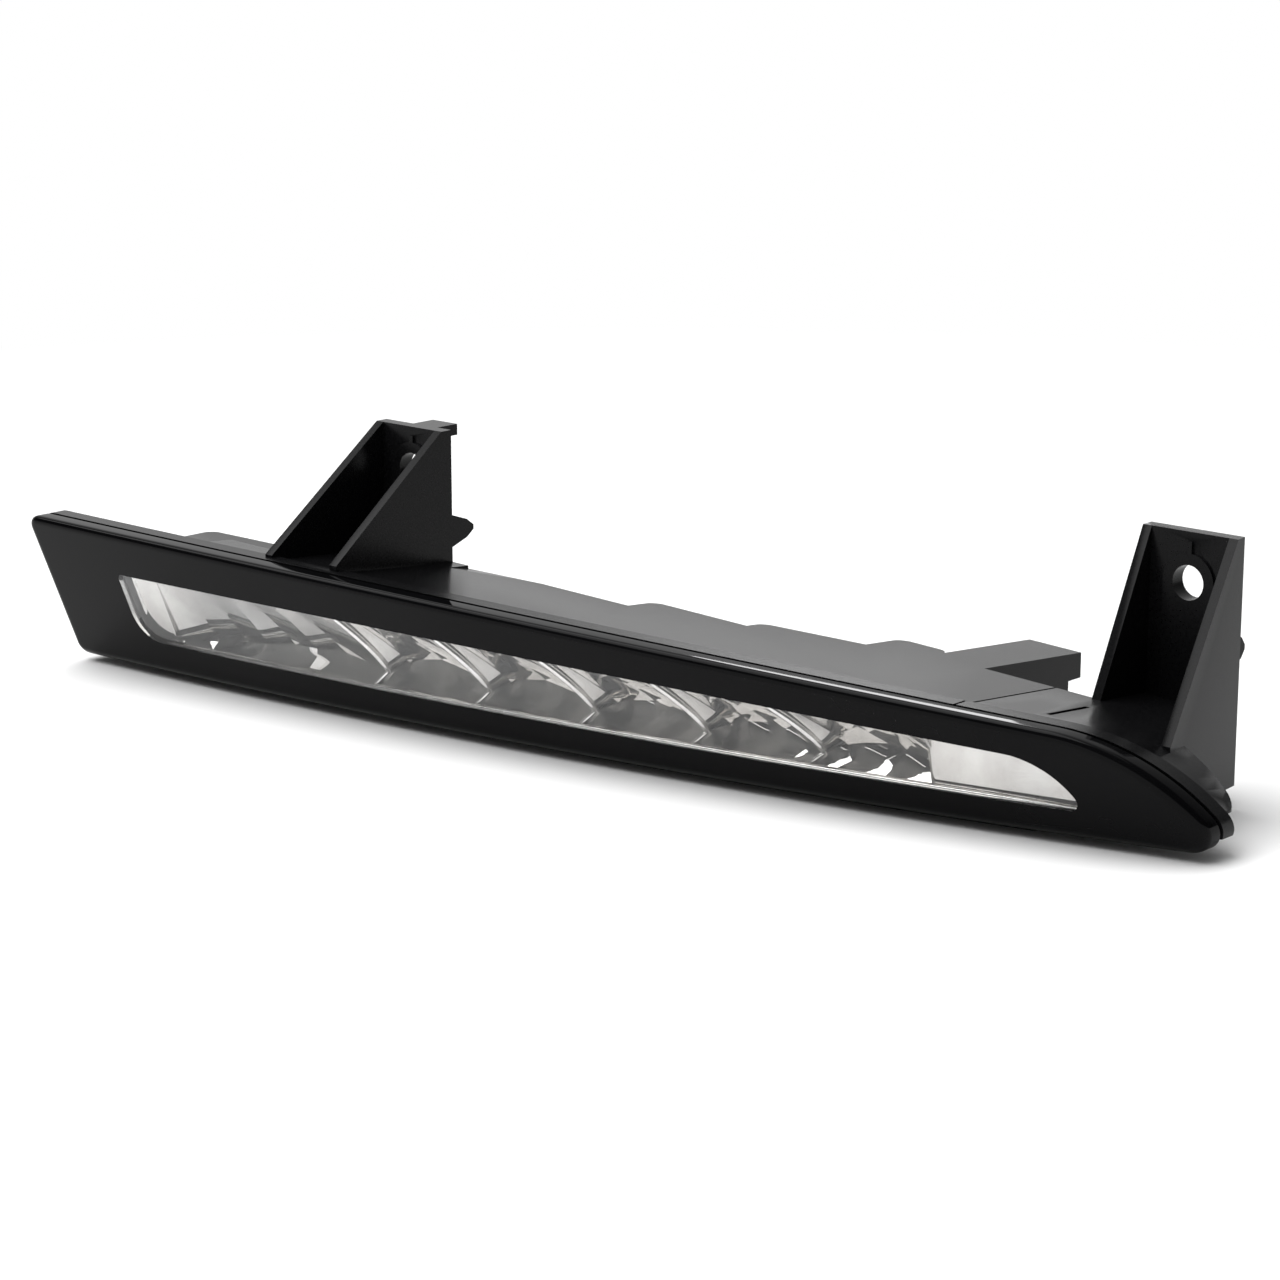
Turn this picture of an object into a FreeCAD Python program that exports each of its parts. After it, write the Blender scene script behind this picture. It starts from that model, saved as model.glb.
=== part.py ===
"""Slim LED front lamp with a blade-shaped lens, six reflector cups and two screw brackets.

Frame: X runs along the lens, -Y is the front, +Z is up and the housing stands on Z = 0.
All lengths are in millimetres.
"""
import FreeCAD, Part
import math
import os

import Sketcher
from FreeCAD import Vector

# Driving sizes, by group. Each name becomes the alias of one sheet cell.
SIZES = {
    # Front face: an arc in plan that leans forward as it rises
    "arc_radius": 1264.0,
    "arc_centre_x": -185.4,
    "arc_centre_y": 1222.6,
    "face_rake": 0.404,
    "slab_reach": 200.0,
    "slab_height": 90.0,
    "blade_reach": 110.0,
    # Lens outline seen from the front
    "lens_left": -148.5,
    "lens_bottom": 1.8,
    "lens_top": 38.7,
    "lens_shoulder_x": 119.6,
    "lens_shoulder_z": 25.9,
    "lens_top_radius": 4100.0,
    "lens_tip_x": 151.8,
    "lens_corner_top": 3.5,
    "lens_corner_bottom": 3.0,
    "lens_corner_tip": 5.0,
    "tip_spread": 1.7,
    # Lens walls, measured back from the face along Y
    "lens_skin": 2.2,
    "lens_wall": 2.6,
    "lens_skirt": 5.2,
    "rim_chamfer": 1.6,
    # Clear window
    "window_left": -121.4,
    "window_bottom": 10.2,
    "window_top": 27.2,
    "window_shoulder_x": 109.6,
    "window_shoulder_z": 19.5,
    "window_top_radius": 3900.0,
    "window_tip_x": 124.4,
    "window_tip_z": 8.2,
    "window_corner_top": 1.5,
    "window_corner_bottom": 7.0,
    "window_corner_tip": 2.0,
    "window_lip": 2.4,
    "window_lip_depth": 1.2,
    # Bead between lens skirt and housing flange
    "seal_depth": 0.8,
    "seal_inset": 0.7,
    # Housing flange, walls and roof
    "flange_depth": 4.0,
    "flange_tail_start": 124.6,
    "flange_tail_rise": 4.4,
    "wall": 2.4,
    "plan_corner": 3.0,
    "roof_fall": 0.09,
    "roof_left": 33.75,
    "roof_shoulder_z": 24.85,
    "roof_top_radius": 6000.0,
    "roof_tip_z": 3.2,
    "roof_keel": -30.0,
    "shell_left": -128.4,
    "shell_right": 147.2,
    "shell_right_back": 14.0,
    "block_left": -99.4,
    "block_back": -34.0,
    "end_roof": 31.0,
    "end_back": -15.0,
    "pad_left": -83.4,
    "pad_right": -50.4,
    "step_a_right": -0.4,
    "step_b_right": 26.6,
    "step_b_back": 4.5,
    "step_c_right": 51.6,
    "step_c_back_left": 10.0,
    "step_c_back_right": 15.0,
    "step_d_back": 27.5,
    "hood_bay_back": 21.0,
    "rear_slope_start": -30.0,
    "rear_slope": 0.1,
    "tail_start": 108.6,
    "tail_rise": 9.0,
    "roof_groove_x": 97.6,
    "roof_groove_width": 0.6,
    "roof_groove_depth": 0.5,
    "roof_slot_x": 111.6,
    "roof_slot_width": 1.2,
    "roof_slot_front": -1.5,
    "roof_slot_back": 12.5,
    "roof_slot_depth": 1.4,
    # Screw brackets
    "plate_depth": 3.2,
    "gusset": 2.2,
    "left_plate_back": -4.5,
    "left_gusset_left": -76.9,
    "left_gusset_right": -55.5,
    "left_foot_left_y": -43.5,
    "left_foot_right_y": -41.5,
    "left_plate_top": 63.6,
    "left_splay": 0.0,
    "left_hole_x": -65.0,
    "left_hole_z": 53.8,
    "right_plate_back": 39.8,
    "right_gusset_left": 107.5,
    "right_gusset_right": 130.3,
    "right_foot_left_y": 19.5,
    "right_foot_right_y": 7.5,
    "right_foot_right_z": 21.0,
    "right_plate_top": 58.2,
    "right_splay": 0.149,
    "right_hole_x": 119.4,
    "right_hole_z": 47.5,
    "hole_radius": 3.75,
    "land_radius": 6.2,
    "land_depth": 0.6,
    "land_rib_width": 1.2,
    "land_rib_gap": 2.0,
    "hook_width": 6.0,
    "hook_inset": 2.0,
    "left_hook_reach": 9.0,
    "right_hook_reach": 5.0,
    "hook_base": 9.0,
    "hook_nose": 2.2,
    "hook_drop": 24.5,
    "tab_width": 8.0,
    "tab_inset": 4.5,
    "tab_reach": 6.5,
    "tab_thickness": 2.6,
    # Connector hood and its two blades
    "hood_left": 65.1,
    "hood_right": 79.1,
    "hood_back": 52.4,
    "hood_brim": 4.6,
    "hood_brim_depth": 4.0,
    "hood_bottom": 7.5,
    "hood_wall": 2.0,
    "hood_roof": 19.5,
    "socket_floor_y": 33.0,
    "blade_width": 1.6,
    "blade_thickness": 0.8,
    "blade_pitch": 4.6,
    "blade_z": 14.0,
    "blade_back": 46.0,
    # Reflector cups: places are measured behind the face at the level of the back corner
    "cup_start": -111.4,
    "first_cup": 56.2,
    "cup_pitch": 29.3,
    "cup_count": 6,
    "cup_floor": 6.4,
    "cup_ceiling": 26.0,
    "cup_floor_back": 10.9,
    "cup_corner_z": 10.6,
    "cup_corner_back": 14.2,
    "cup_crown_z": 18.4,
    "cup_crown_back": 8.7,
    "cup_brow_z": 30.6,
    "cup_brow_back": -13.3,
    "cup_front": -30.0,
    "cup_belly": 4.2,
    "cup_taper": 0.02,
    "cup_end_rise": 10.0,
    "cup_cheek": 9.0,
    "cup_rib": 1.6,
    "cup_rib_height": 0.8,
    "cup_wall": 1.6,
    "cup_margin": 0.8,
    "reflector_gap": 0.2,
    "reflector_plate": 1.6,
    "floor_thickness": 1.3,
    # Light strip below the cups
    "strip_left": -96.4,
    "strip_right": 103.6,
    "strip_front": 11.6,
    "strip_back": 22.0,
    "board_thickness": 1.4,
    "spreader_thickness": 1.1,
    "led_size": 3.5,
    "led_height": 0.8,
    "led_back": 13.7,
    "led_clearance": 0.4,
    "ear_back": 29.5,
    "ear_width": 9.0,
    "ear_left_x": -67.4,
    "ear_right_x": 98.6,
    "screw_back": 26.0,
    "screw_radius": 1.25,
    "screw_head_radius": 2.3,
    "screw_head_height": 1.6,
    "screw_bite": 1.4,
    "boss_radius": 3.2,
    # Driver board and what it carries
    "driver_left": 59.6,
    "driver_right": 93.6,
    "driver_bottom": 4.4,
    "driver_top": 20.0,
    "driver_front": 13.0,
    "driver_thickness": 1.6,
    "post_width": 3.0,
    "post_depth": 5.0,
    "coil_size": 7.0,
    "coil_height": 4.2,
    "coil_x": 65.1,
    "coil_z": 13.5,
    "chip_width": 5.0,
    "chip_tall": 4.0,
    "chip_height": 1.5,
    "chip_x": 74.1,
    "chip_z": 15.5,
    "cap_radius": 2.2,
    "cap_height": 5.4,
    "cap_x": 80.6,
    "cap_spacing": 5.2,
    "cap_z": 15.0,
    "diode_width": 4.4,
    "diode_tall": 2.6,
    "diode_height": 2.0,
    "diode_x": 74.1,
    "diode_z": 9.5,
    "resistor_width": 2.0,
    "resistor_tall": 1.2,
    "resistor_height": 0.6,
    "resistor_x": 79.6,
    "resistor_spacing": 3.2,
    "resistor_z": 9.0,
    "resistor_count": 3,
    "link_left": 88.6,
    "link_width": 4.6,
    "link_front": 3.2,
    "link_depth": 4.0,
    "link_height": 2.6,
    "link_pin": 0.7,
    "link_pitch": 2.4,
    # Breather on the rear wall
    "vent_x": -25.4,
    "vent_z": 13.0,
    "vent_radius": 4.0,
    "vent_length": 4.0,
    "vent_bore": 2.2,
    "vent_disc": 0.3,
    "vent_cap_wall": 1.2,
    "vent_cap_end": 1.4,
    "vent_cap_clearance": 0.05,
}

doc = FreeCAD.newDocument("lamp")
sheet = doc.addObject("Spreadsheet::Sheet", "Sheet")
for row, (alias, number) in enumerate(SIZES.items(), start=1):
    sheet.set("A%d" % row, alias)
    sheet.set("B%d" % row, str(number))
    sheet.setAlias("B%d" % row, alias)
doc.recompute()


def ref(text):
    """Turns the size names in a formula into references to the sheet."""
    out = []
    word = ""
    for char in text + " ":
        if char.isalnum() or char == "_":
            word += char
            continue
        out.append("Sheet." + word if word in SIZES else word)
        out.append(char)
        word = ""
    return "".join(out).strip()


def value(formula):
    """Works out a formula of size names as a number."""
    return float(sheet.evalExpression(ref(formula)))


def bind(obj, **formulas):
    """Binds properties of an object to formulas of size names."""
    for name, formula in formulas.items():
        obj.setExpression(name.replace("__", "."), ref(formula))
    return obj


def face_y(x, z):
    """Formula for the Y of the lens face at a place seen from the front."""
    root = "sqrt(arc_radius^2 - ((%s) - arc_centre_x)^2)" % x
    return "(arc_centre_y - %s - face_rake * (%s))" % (root, z)


def box(name, x, y, z):
    """Part box between two formulas on each axis."""
    obj = doc.addObject("Part::Box", name)
    spans = (("Length", "x", x), ("Width", "y", y), ("Height", "z", z))
    for prop, axis, (low, high) in spans:
        obj.setExpression(prop, ref("(%s) - (%s)" % (high, low)))
        obj.setExpression("Placement.Base." + axis, ref(low))
    return obj


def cylinder(name, radius, low, high, x, y, z, axis="y"):
    """Part cylinder from low to high along one axis, centred on the other two."""
    obj = doc.addObject("Part::Cylinder", name)
    if axis == "y":
        obj.Placement.Rotation = FreeCAD.Rotation(Vector(1, 0, 0), -90)
    centre = {"x": x, "y": y, "z": z}
    centre[axis] = low
    bind(obj, Radius=radius, Height="(%s) - (%s)" % (high, low))
    for letter, formula in centre.items():
        obj.setExpression("Placement.Base." + letter, ref(formula))
    return obj


def fuse(name, pieces):
    """Union of several objects."""
    obj = doc.addObject("Part::MultiFuse", name)
    obj.Shapes = pieces
    return obj


def common(name, pieces):
    """Space that several objects share."""
    obj = doc.addObject("Part::MultiCommon", name)
    obj.Shapes = pieces
    return obj


def cut(name, base, tools):
    """One object less several others."""
    obj = doc.addObject("Part::Cut", name)
    obj.Base = base
    obj.Tool = tools[0] if len(tools) == 1 else fuse(name + "_tools", tools)
    return obj


def group(name, pieces):
    """Several equal pieces kept as separate solids of one node."""
    obj = doc.addObject("Part::Compound", name)
    obj.Links = pieces
    return obj


def sketch_on(body, role):
    """New sketch on one of the body's own origin planes."""
    plane = next(item for item in body.Origin.OriginFeatures if item.Role == role)
    sketch = body.newObject("Sketcher::SketchObject", body.Name + "_sketch")
    sketch.AttachmentSupport = [(plane, "")]
    sketch.MapMode = "FlatFace"
    return sketch


def hold(sketch, element, point, x=None, y=None):
    """Holds a sketch point at formulas measured from the sketch origin."""
    for kind, formula in (("DistanceX", x), ("DistanceY", y)):
        if formula is not None:
            number = value(formula)
            index = sketch.addConstraint(
                Sketcher.Constraint(kind, -1, 1, element, point, number))
            sketch.setExpression("Constraints[%d]" % index, ref(formula))


def hold_radius(sketch, element, formula):
    """Holds the radius of a sketch arc."""
    index = sketch.addConstraint(Sketcher.Constraint("Radius", element, value(formula)))
    sketch.setExpression("Constraints[%d]" % index, ref(formula))


def polygon(sketch, corners):
    """Closed outline through corners given as pairs of formulas."""
    spots = [Vector(value(x), value(y), 0) for x, y in corners]
    count = len(spots)
    for index, spot in enumerate(spots):
        sketch.addGeometry(Part.LineSegment(spot, spots[(index + 1) % count]), False)
    for index in range(count):
        following = (index + 1) % count
        sketch.addConstraint(Sketcher.Constraint("Coincident", index, 2, following, 1))
    for index, (x, y) in enumerate(corners):
        hold(sketch, index, 1, x, y)


def pad(body, sketch, length, symmetric=False, reverse=False):
    """Pad of a sketch by a formula."""
    feature = body.newObject("PartDesign::Pad", body.Name + "_pad")
    feature.Profile = sketch
    feature.SideType = "Symmetric" if symmetric else "One side"
    feature.Reversed = reverse
    bind(feature, Length=length)
    return feature


def prism(name, role, corners, low, high):
    """Body with a straight outline, padded between two formulas along the plane's normal."""
    body = doc.addObject("PartDesign::Body", name)
    sketch = sketch_on(body, role)
    polygon(sketch, corners)
    backward = role == "XZ_Plane"
    offset = "-(%s)" % low if backward else low
    sketch.setExpression("AttachmentOffset.Base.z", ref(offset))
    pad(body, sketch, "(%s) - (%s)" % (high, low), reverse=backward)
    return body


def circle_below(start, end, radius):
    """Centre of an arc of given radius that bulges upward from start to end."""
    middle = (start + end) * 0.5
    half = (end - start) * 0.5
    normal = Vector(-half.y, half.x, 0).normalize()
    return middle + normal * math.sqrt(radius ** 2 - half.Length ** 2)


def arc_between(centre, start, end):
    """Sketch arc that runs anticlockwise from start to end."""
    circle = Part.Circle(centre, Vector(0, 0, 1), (start - centre).Length)
    first = math.atan2(start.y - centre.y, start.x - centre.x)
    last = math.atan2(end.y - centre.y, end.x - centre.x)
    return Part.ArcOfCircle(circle, first, last)


def round_corner(body, corner, radius):
    """Rounds the long edge of a symmetric pad that passes through a sketch corner."""
    doc.recompute()
    base = body.Tip
    place = Vector(value(corner[0]), 0, value(corner[1]))
    for number, edge in enumerate(base.Shape.Edges, start=1):
        ends = [vertex.Point for vertex in edge.Vertexes]
        if len(ends) == 2 and ((ends[0] + ends[1]) * 0.5 - place).Length < 1e-3:
            fillet = body.newObject("PartDesign::Fillet", body.Name + "_round")
            fillet.Base = (base, ["Edge%d" % number])
            bind(fillet, Radius=radius)
            return
    raise RuntimeError("no edge at a corner of " + body.Name)


def blade(name, places, radii, grow="0", fall="0"):
    """Blade outline seen from the front, padded both ways along Y.

    The outline has a straight bottom and left end, a gently bowed top and a round right
    end. It is grown outward by a formula, and the pad falls to the rear by another.
    """
    g = "(%s)" % grow
    foot = ("%s - %s" % (places["left"], g), "%s - %s" % (places["bottom"], g))
    tip = ("%s + tip_spread * %s" % (places["tip_x"], g), "%s - %s" % (places["tip_z"], g))
    shoulder = (places["shoulder_x"], "%s + %s" % (places["shoulder_z"], g))
    head = (foot[0], "%s + %s" % (places["top"], g))
    spots = [Vector(value(x), value(z), 0) for x, z in (foot, tip, shoulder, head)]
    body = doc.addObject("PartDesign::Body", name)
    sketch = sketch_on(body, "XZ_Plane")
    crown = circle_below(spots[2], spots[3], value(places["top_radius"]))
    inward = (crown - spots[2]).normalize()
    chord = spots[1] - spots[2]
    end_radius = chord.Length ** 2 / (2 * inward.dot(chord))
    sketch.addGeometry(Part.LineSegment(spots[0], spots[1]), False)
    sketch.addGeometry(arc_between(spots[2] + inward * end_radius, spots[1], spots[2]), False)
    sketch.addGeometry(arc_between(crown, spots[2], spots[3]), False)
    sketch.addGeometry(Part.LineSegment(spots[3], spots[0]), False)
    sketch.addConstraint(Sketcher.Constraint("Coincident", 0, 2, 1, 1))
    sketch.addConstraint(Sketcher.Constraint("Tangent", 1, 2, 2, 1))
    sketch.addConstraint(Sketcher.Constraint("Coincident", 2, 2, 3, 1))
    sketch.addConstraint(Sketcher.Constraint("Coincident", 3, 2, 0, 1))
    hold(sketch, 0, 1, *foot)
    hold(sketch, 0, 2, *tip)
    hold(sketch, 1, 2, *shoulder)
    hold(sketch, 3, 1, *head)
    hold_radius(sketch, 2, places["top_radius"])
    feature = pad(body, sketch, "2 * blade_reach", symmetric=True)
    feature.UseCustomVector = True
    feature.Direction = Vector(0, 1, -value(fall))
    feature.setExpression("Direction.z", ref("-(%s)" % fall))
    for corner, radius in ((foot, radii["bottom"]), (tip, radii["tip"]), (head, radii["top"])):
        round_corner(body, corner, "max(%s + %s; 0.5)" % (radius, g))
    return body


def arc_strip(name, left, right, front, back, low, high, rake="0", level="0"):
    """Strip between two copies of the face arc, padded upward and optionally raked.

    front and back are distances behind the face at the given level.
    """
    body = doc.addObject("PartDesign::Body", name)
    sketch = sketch_on(body, "XY_Plane")
    sketch.setExpression("AttachmentOffset.Base.z", ref(low))
    for distance in (front, back):
        centre_y = "arc_centre_y - face_rake * (%s) + (%s)" % (level, distance)
        centre = Vector(value("arc_centre_x"), value(centre_y), 0)
        ends = []
        for x in (value(left), value(right)):
            drop = math.sqrt(value("arc_radius") ** 2 - (x - centre.x) ** 2)
            ends.append(Vector(x, centre.y - drop, 0))
        element = sketch.addGeometry(arc_between(centre, ends[0], ends[1]), False)
        hold(sketch, element, 3, "arc_centre_x", centre_y)
        hold_radius(sketch, element, "arc_radius")
        hold(sketch, element, 1, left)
        hold(sketch, element, 2, right)
    for point in (1, 2):
        ends = [sketch.getPoint(0, point), sketch.getPoint(1, point)]
        side = sketch.addGeometry(Part.LineSegment(ends[0], ends[1]), False)
        sketch.addConstraint(Sketcher.Constraint("Coincident", side, 1, 0, point))
        sketch.addConstraint(Sketcher.Constraint("Coincident", side, 2, 1, point))
    feature = pad(body, sketch, "(%s) - (%s)" % (high, low))
    if rake != "0":
        feature.UseCustomVector = True
        feature.Direction = Vector(0, -value(rake), 1)
        feature.setExpression("Direction.y", ref("-(%s)" % rake))
    return body


def slab(name, front, back):
    """Space between two distances behind the leaning front face."""
    reach = ("-slab_reach", "slab_reach")
    return arc_strip(name, *reach, front, back, "0", "slab_height", rake="face_rake")


LENS = {
    "left": "lens_left", "bottom": "lens_bottom", "top": "lens_top",
    "shoulder_x": "lens_shoulder_x", "shoulder_z": "lens_shoulder_z",
    "top_radius": "lens_top_radius", "tip_x": "lens_tip_x", "tip_z": "lens_bottom",
}
LENS_RADII = {"bottom": "lens_corner_bottom", "tip": "lens_corner_tip", "top": "lens_corner_top"}
WINDOW = {
    "left": "window_left", "bottom": "window_bottom", "top": "window_top",
    "shoulder_x": "window_shoulder_x", "shoulder_z": "window_shoulder_z",
    "top_radius": "window_top_radius", "tip_x": "window_tip_x", "tip_z": "window_tip_z",
}
WINDOW_RADII = {
    "bottom": "window_corner_bottom", "tip": "window_corner_tip", "top": "window_corner_top",
}
ROOF = {
    "left": "lens_left", "bottom": "roof_keel", "top": "roof_left",
    "shoulder_x": "lens_shoulder_x", "shoulder_z": "roof_shoulder_z",
    "top_radius": "roof_top_radius", "tip_x": "lens_tip_x", "tip_z": "roof_tip_z",
}


def bevel_rim(name, base):
    """Bevels the edge round the front face of the lens."""
    doc.recompute()
    depth = value("rim_chamfer")
    rim = []
    for number, edge in enumerate(base.Shape.Edges, start=1):
        middle = edge.valueAt((edge.FirstParameter + edge.LastParameter) / 2)
        spots = [vertex.Point for vertex in edge.Vertexes] + [middle]
        faces = [value(face_y(repr(spot.x), repr(spot.z))) for spot in spots]
        if all(abs(spot.y - face) < 1e-3 for spot, face in zip(spots, faces)):
            rim.append((number, depth, depth))
    obj = doc.addObject("Part::Chamfer", name)
    obj.Base = base
    obj.Edges = rim
    return obj


def lens_parts():
    """Black frame with its skirt, the clear window in it and the bead behind it."""
    outer = bevel_rim("lens_outer", common("lens_square", [
        blade("lens_blade", LENS, LENS_RADII), slab("lens_slab", "0", "lens_skirt")]))
    hollow = common("lens_hollow", [
        blade("lens_inner", LENS, LENS_RADII, "-lens_wall"),
        slab("lens_hollow_slab", "lens_skin", "lens_skirt + lens_wall")])
    opening = blade("window_opening", WINDOW, WINDOW_RADII)
    frame = cut("lens_frame", outer, [hollow, opening])
    skin = common("window_skin", [
        blade("window_blade", WINDOW, WINDOW_RADII), slab("window_slab", "0", "lens_skin")])
    lip = common("window_lip_ring", [
        blade("window_lip_blade", WINDOW, WINDOW_RADII, "window_lip"),
        slab("window_lip_slab", "lens_skin", "lens_skin + window_lip_depth")])
    window = fuse("lens_window", [skin, lip])
    bead = cut("lens_seal", common("seal_outer", [
        blade("seal_blade", LENS, LENS_RADII, "-seal_inset"),
        slab("seal_slab", "lens_skirt", "lens_skirt + seal_depth")]), [
            blade("seal_inner", LENS, LENS_RADII, "seal_inset - lens_wall")])
    return [frame, window, bead]


CUP_WINDOW = dict(WINDOW, bottom="cup_floor", tip_z="cup_floor", top="cup_ceiling")


def cup_edges():
    """Formulas for the X of both sides of each reflector cup."""
    edges = ["cup_start", "cup_start + first_cup"]
    for index in range(1, int(value("cup_count"))):
        edges.append("cup_start + first_cup + %d * cup_pitch" % index)
    return list(zip(edges[:-1], edges[1:]))


def cup_strip(name, low, high, deeper, grow="0", floor="cup_floor"):
    """Flat-sided strip of a cup between two X formulas.

    deeper holds how far the strip's back moves rearward at its two ends, and all backs come
    forward evenly towards the narrow tip. grow moves the whole back outward.
    """
    start, end = (
        "(%s + (%s) - cup_taper * ((%s) - cup_start - first_cup))" % (
            face_y(place, "cup_corner_z"), more, place)
        for place, more in zip((low, high), deeper))
    corners = [
        (start + " + cup_front", floor),
        (start + " + cup_floor_back + (%s)" % grow, floor),
        (start + " + cup_corner_back + (%s)" % grow, "cup_corner_z"),
        (start + " + cup_crown_back + (%s)" % grow, "cup_crown_z + (%s)" % grow),
        (start + " + cup_brow_back + (%s)" % grow, "cup_brow_z + (%s)" % grow),
        (start + " + cup_front", "cup_brow_z + (%s)" % grow),
    ]
    body = prism(name, "YZ_Plane", corners, low, high)
    slope = "(%s - %s) / ((%s) - (%s))" % (end, start, high, low)
    body.Tip.UseCustomVector = True
    body.Tip.Direction = Vector(1, value(slope), 0)
    body.Tip.setExpression("Direction.y", ref(slope))
    return body


def reflector_part():
    """One metallised moulding: two flat wings, six faceted cups and the floor below them."""
    behind = "lens_skin + window_lip_depth + reflector_gap"
    shells = [slab("wing_slab", behind, behind + " + reflector_plate")]
    bowls = []
    holes = []
    underside = "cup_floor - floor_thickness"
    for index, (left, right) in enumerate(cup_edges(), start=1):
        name = "cup_%d" % index
        shells.append(cup_strip(name + "_shell", left + " - cup_wall", right + " + cup_wall",
                                ("cup_belly", "cup_belly"), "cup_wall", underside))
        places = [left + " + cup_rib / 2", left + " + cup_cheek",
                  right + " - cup_cheek", right + " - cup_rib / 2"]
        depths = ["-cup_end_rise" if index == 1 else "0", "cup_belly", "cup_belly", "0"]
        for step in range(3):
            bowls.append(cup_strip("%s_facet_%d" % (name, step + 1), places[step], places[step + 1],
                                   depths[step:step + 2]))
        if index > 1:
            bowls.append(cup_strip(name + "_rib", left + " - cup_rib / 2", left + " + cup_rib / 2",
                                   ("-cup_rib_height", "-cup_rib_height")))
        middle = "(%s + %s) / 2" % (left, right)
        half = "(led_size / 2 + led_clearance)"
        led_y = face_y(middle, "cup_floor") + " + led_back"
        holes.append(box(name + "_led_hole",
                         ("%s - %s" % (middle, half), "%s + %s" % (middle, half)),
                         ("%s - %s" % (led_y, half), "%s + %s" % (led_y, half)),
                         (underside + " - floor_thickness", "cup_corner_z")))
    body = common("reflector_body", [
        fuse("reflector_mass", shells),
        slab("reflector_slab", behind, "blade_reach"),
        box("reflector_space", ("-slab_reach", "slab_reach"), ("-slab_reach", "slab_reach"),
            (underside, "lens_top")),
        blade("reflector_blade", CUP_WINDOW, WINDOW_RADII, "window_lip")])
    hollow = common("reflector_hollow", [
        fuse("reflector_bowls", bowls),
        blade("bowl_blade", CUP_WINDOW, WINDOW_RADII, "cup_margin")])
    return cut("reflector", body, [hollow] + holes)


def shell_plan(inset):
    """Corners of the housing in plan, moved inward by a formula, from the front left."""
    i = "(%s)" % inset
    front = "-blade_reach"
    spread = "right_splay * (right_plate_back - shell_right_back)"
    return [
        ("shell_left + " + i, front),
        ("shell_right - " + i, front),
        ("shell_right - " + i, "shell_right_back - " + i),
        ("right_gusset_right + %s - %s" % (spread, i), "shell_right_back - " + i),
        ("right_gusset_right - " + i, "right_plate_back - " + i),
        ("right_gusset_left + " + i, "right_plate_back - " + i),
        ("right_gusset_left + " + i, "hood_bay_back - " + i),
        ("hood_left - " + i, "hood_bay_back - " + i),
        ("hood_left - " + i, "step_d_back - " + i),
        ("step_c_right + " + i, "step_d_back - " + i),
        ("step_c_right + " + i, "step_c_back_right - " + i),
        ("step_b_right + " + i, "step_c_back_left - " + i),
        ("step_b_right + " + i, "step_b_back - " + i),
        ("step_a_right + " + i, "step_b_back - " + i),
        ("step_a_right + " + i, "left_plate_back - " + i),
        ("pad_left + " + i, "left_plate_back - " + i),
        ("pad_left + " + i, "end_back - " + i),
        ("shell_left + " + i, "end_back - " + i),
    ]


# Outward corners of the plan that are rounded: tail, hood bay, roof steps and end block
PLAN_ROUNDED = (2, 8, 9, 11, 13, 17)


def round_plan(body, corners, radius):
    """Rounds upright edges of a prism that stands on a plan outline."""
    doc.recompute()
    base = body.Tip
    names = []
    for x, y in corners:
        place = Vector(value(x), value(y), 0)
        for number, edge in enumerate(base.Shape.Edges, start=1):
            ends = [Vector(vertex.X, vertex.Y, 0) for vertex in edge.Vertexes]
            if len(ends) == 2 and all((end - place).Length < 1e-3 for end in ends):
                names.append("Edge%d" % number)
    fillet = body.newObject("PartDesign::Fillet", body.Name + "_round")
    fillet.Base = (base, names)
    bind(fillet, Radius=radius)


def shell_space(name, inset, front):
    """Outer or inner space of the housing shell behind a distance from the face."""
    floor = "(%s)" % inset
    plan = prism(name + "_plan", "XY_Plane", shell_plan(inset), floor, "slab_height")
    round_plan(plan, [shell_plan(inset)[number] for number in PLAN_ROUNDED],
               "max(plan_corner - %s; 0.6)" % floor)
    roof = blade(name + "_roof", ROOF, LENS_RADII, "-(%s)" % inset, fall="roof_fall")
    space = common(name + "_space", [plan, roof, slab(name + "_slab", front, "3 * blade_reach")])
    rear = rear_wedge(name + "_rear", inset)
    tail = tail_wedge(name + "_tail", "tail_start", "0", "tail_rise", inset)
    above = ("end_roof - " + inset, "slab_height")
    across = ("-slab_reach", "slab_reach")
    end = box(name + "_end", ("-slab_reach", "block_left + " + inset), across, above)
    ledge = box(name + "_ledge", ("-slab_reach", "pad_left + " + inset),
                ("block_back - " + inset, "slab_reach"), above)
    return cut(name, space, [rear, tail, end, ledge])


def rear_wedge(name, inset):
    """Space above the steeper rear roof between the left pad and the hood bay."""
    level = "(roof_left - %s)" % inset
    run = "(slab_reach - rear_slope_start)"
    corners = [
        ("rear_slope_start", level + " - roof_fall * rear_slope_start"),
        ("slab_reach", level + " - roof_fall * rear_slope_start - (roof_fall + rear_slope) * " + run),
        ("slab_reach", "slab_height"),
        ("rear_slope_start", "slab_height"),
    ]
    return prism(name, "YZ_Plane", corners, "pad_right - " + inset, "step_c_right + " + inset)


def tail_wedge(name, start, low, high, inset):
    """Space below an underside that rises towards the right end."""
    corners = [
        (start, "-wall"),
        ("slab_reach", "-wall"),
        ("slab_reach", high + " + " + inset),
        ("shell_right", high + " + " + inset),
        (start, low + " + " + inset),
    ]
    return prism(name, "XZ_Plane", corners, "-slab_reach", "slab_reach")


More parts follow.
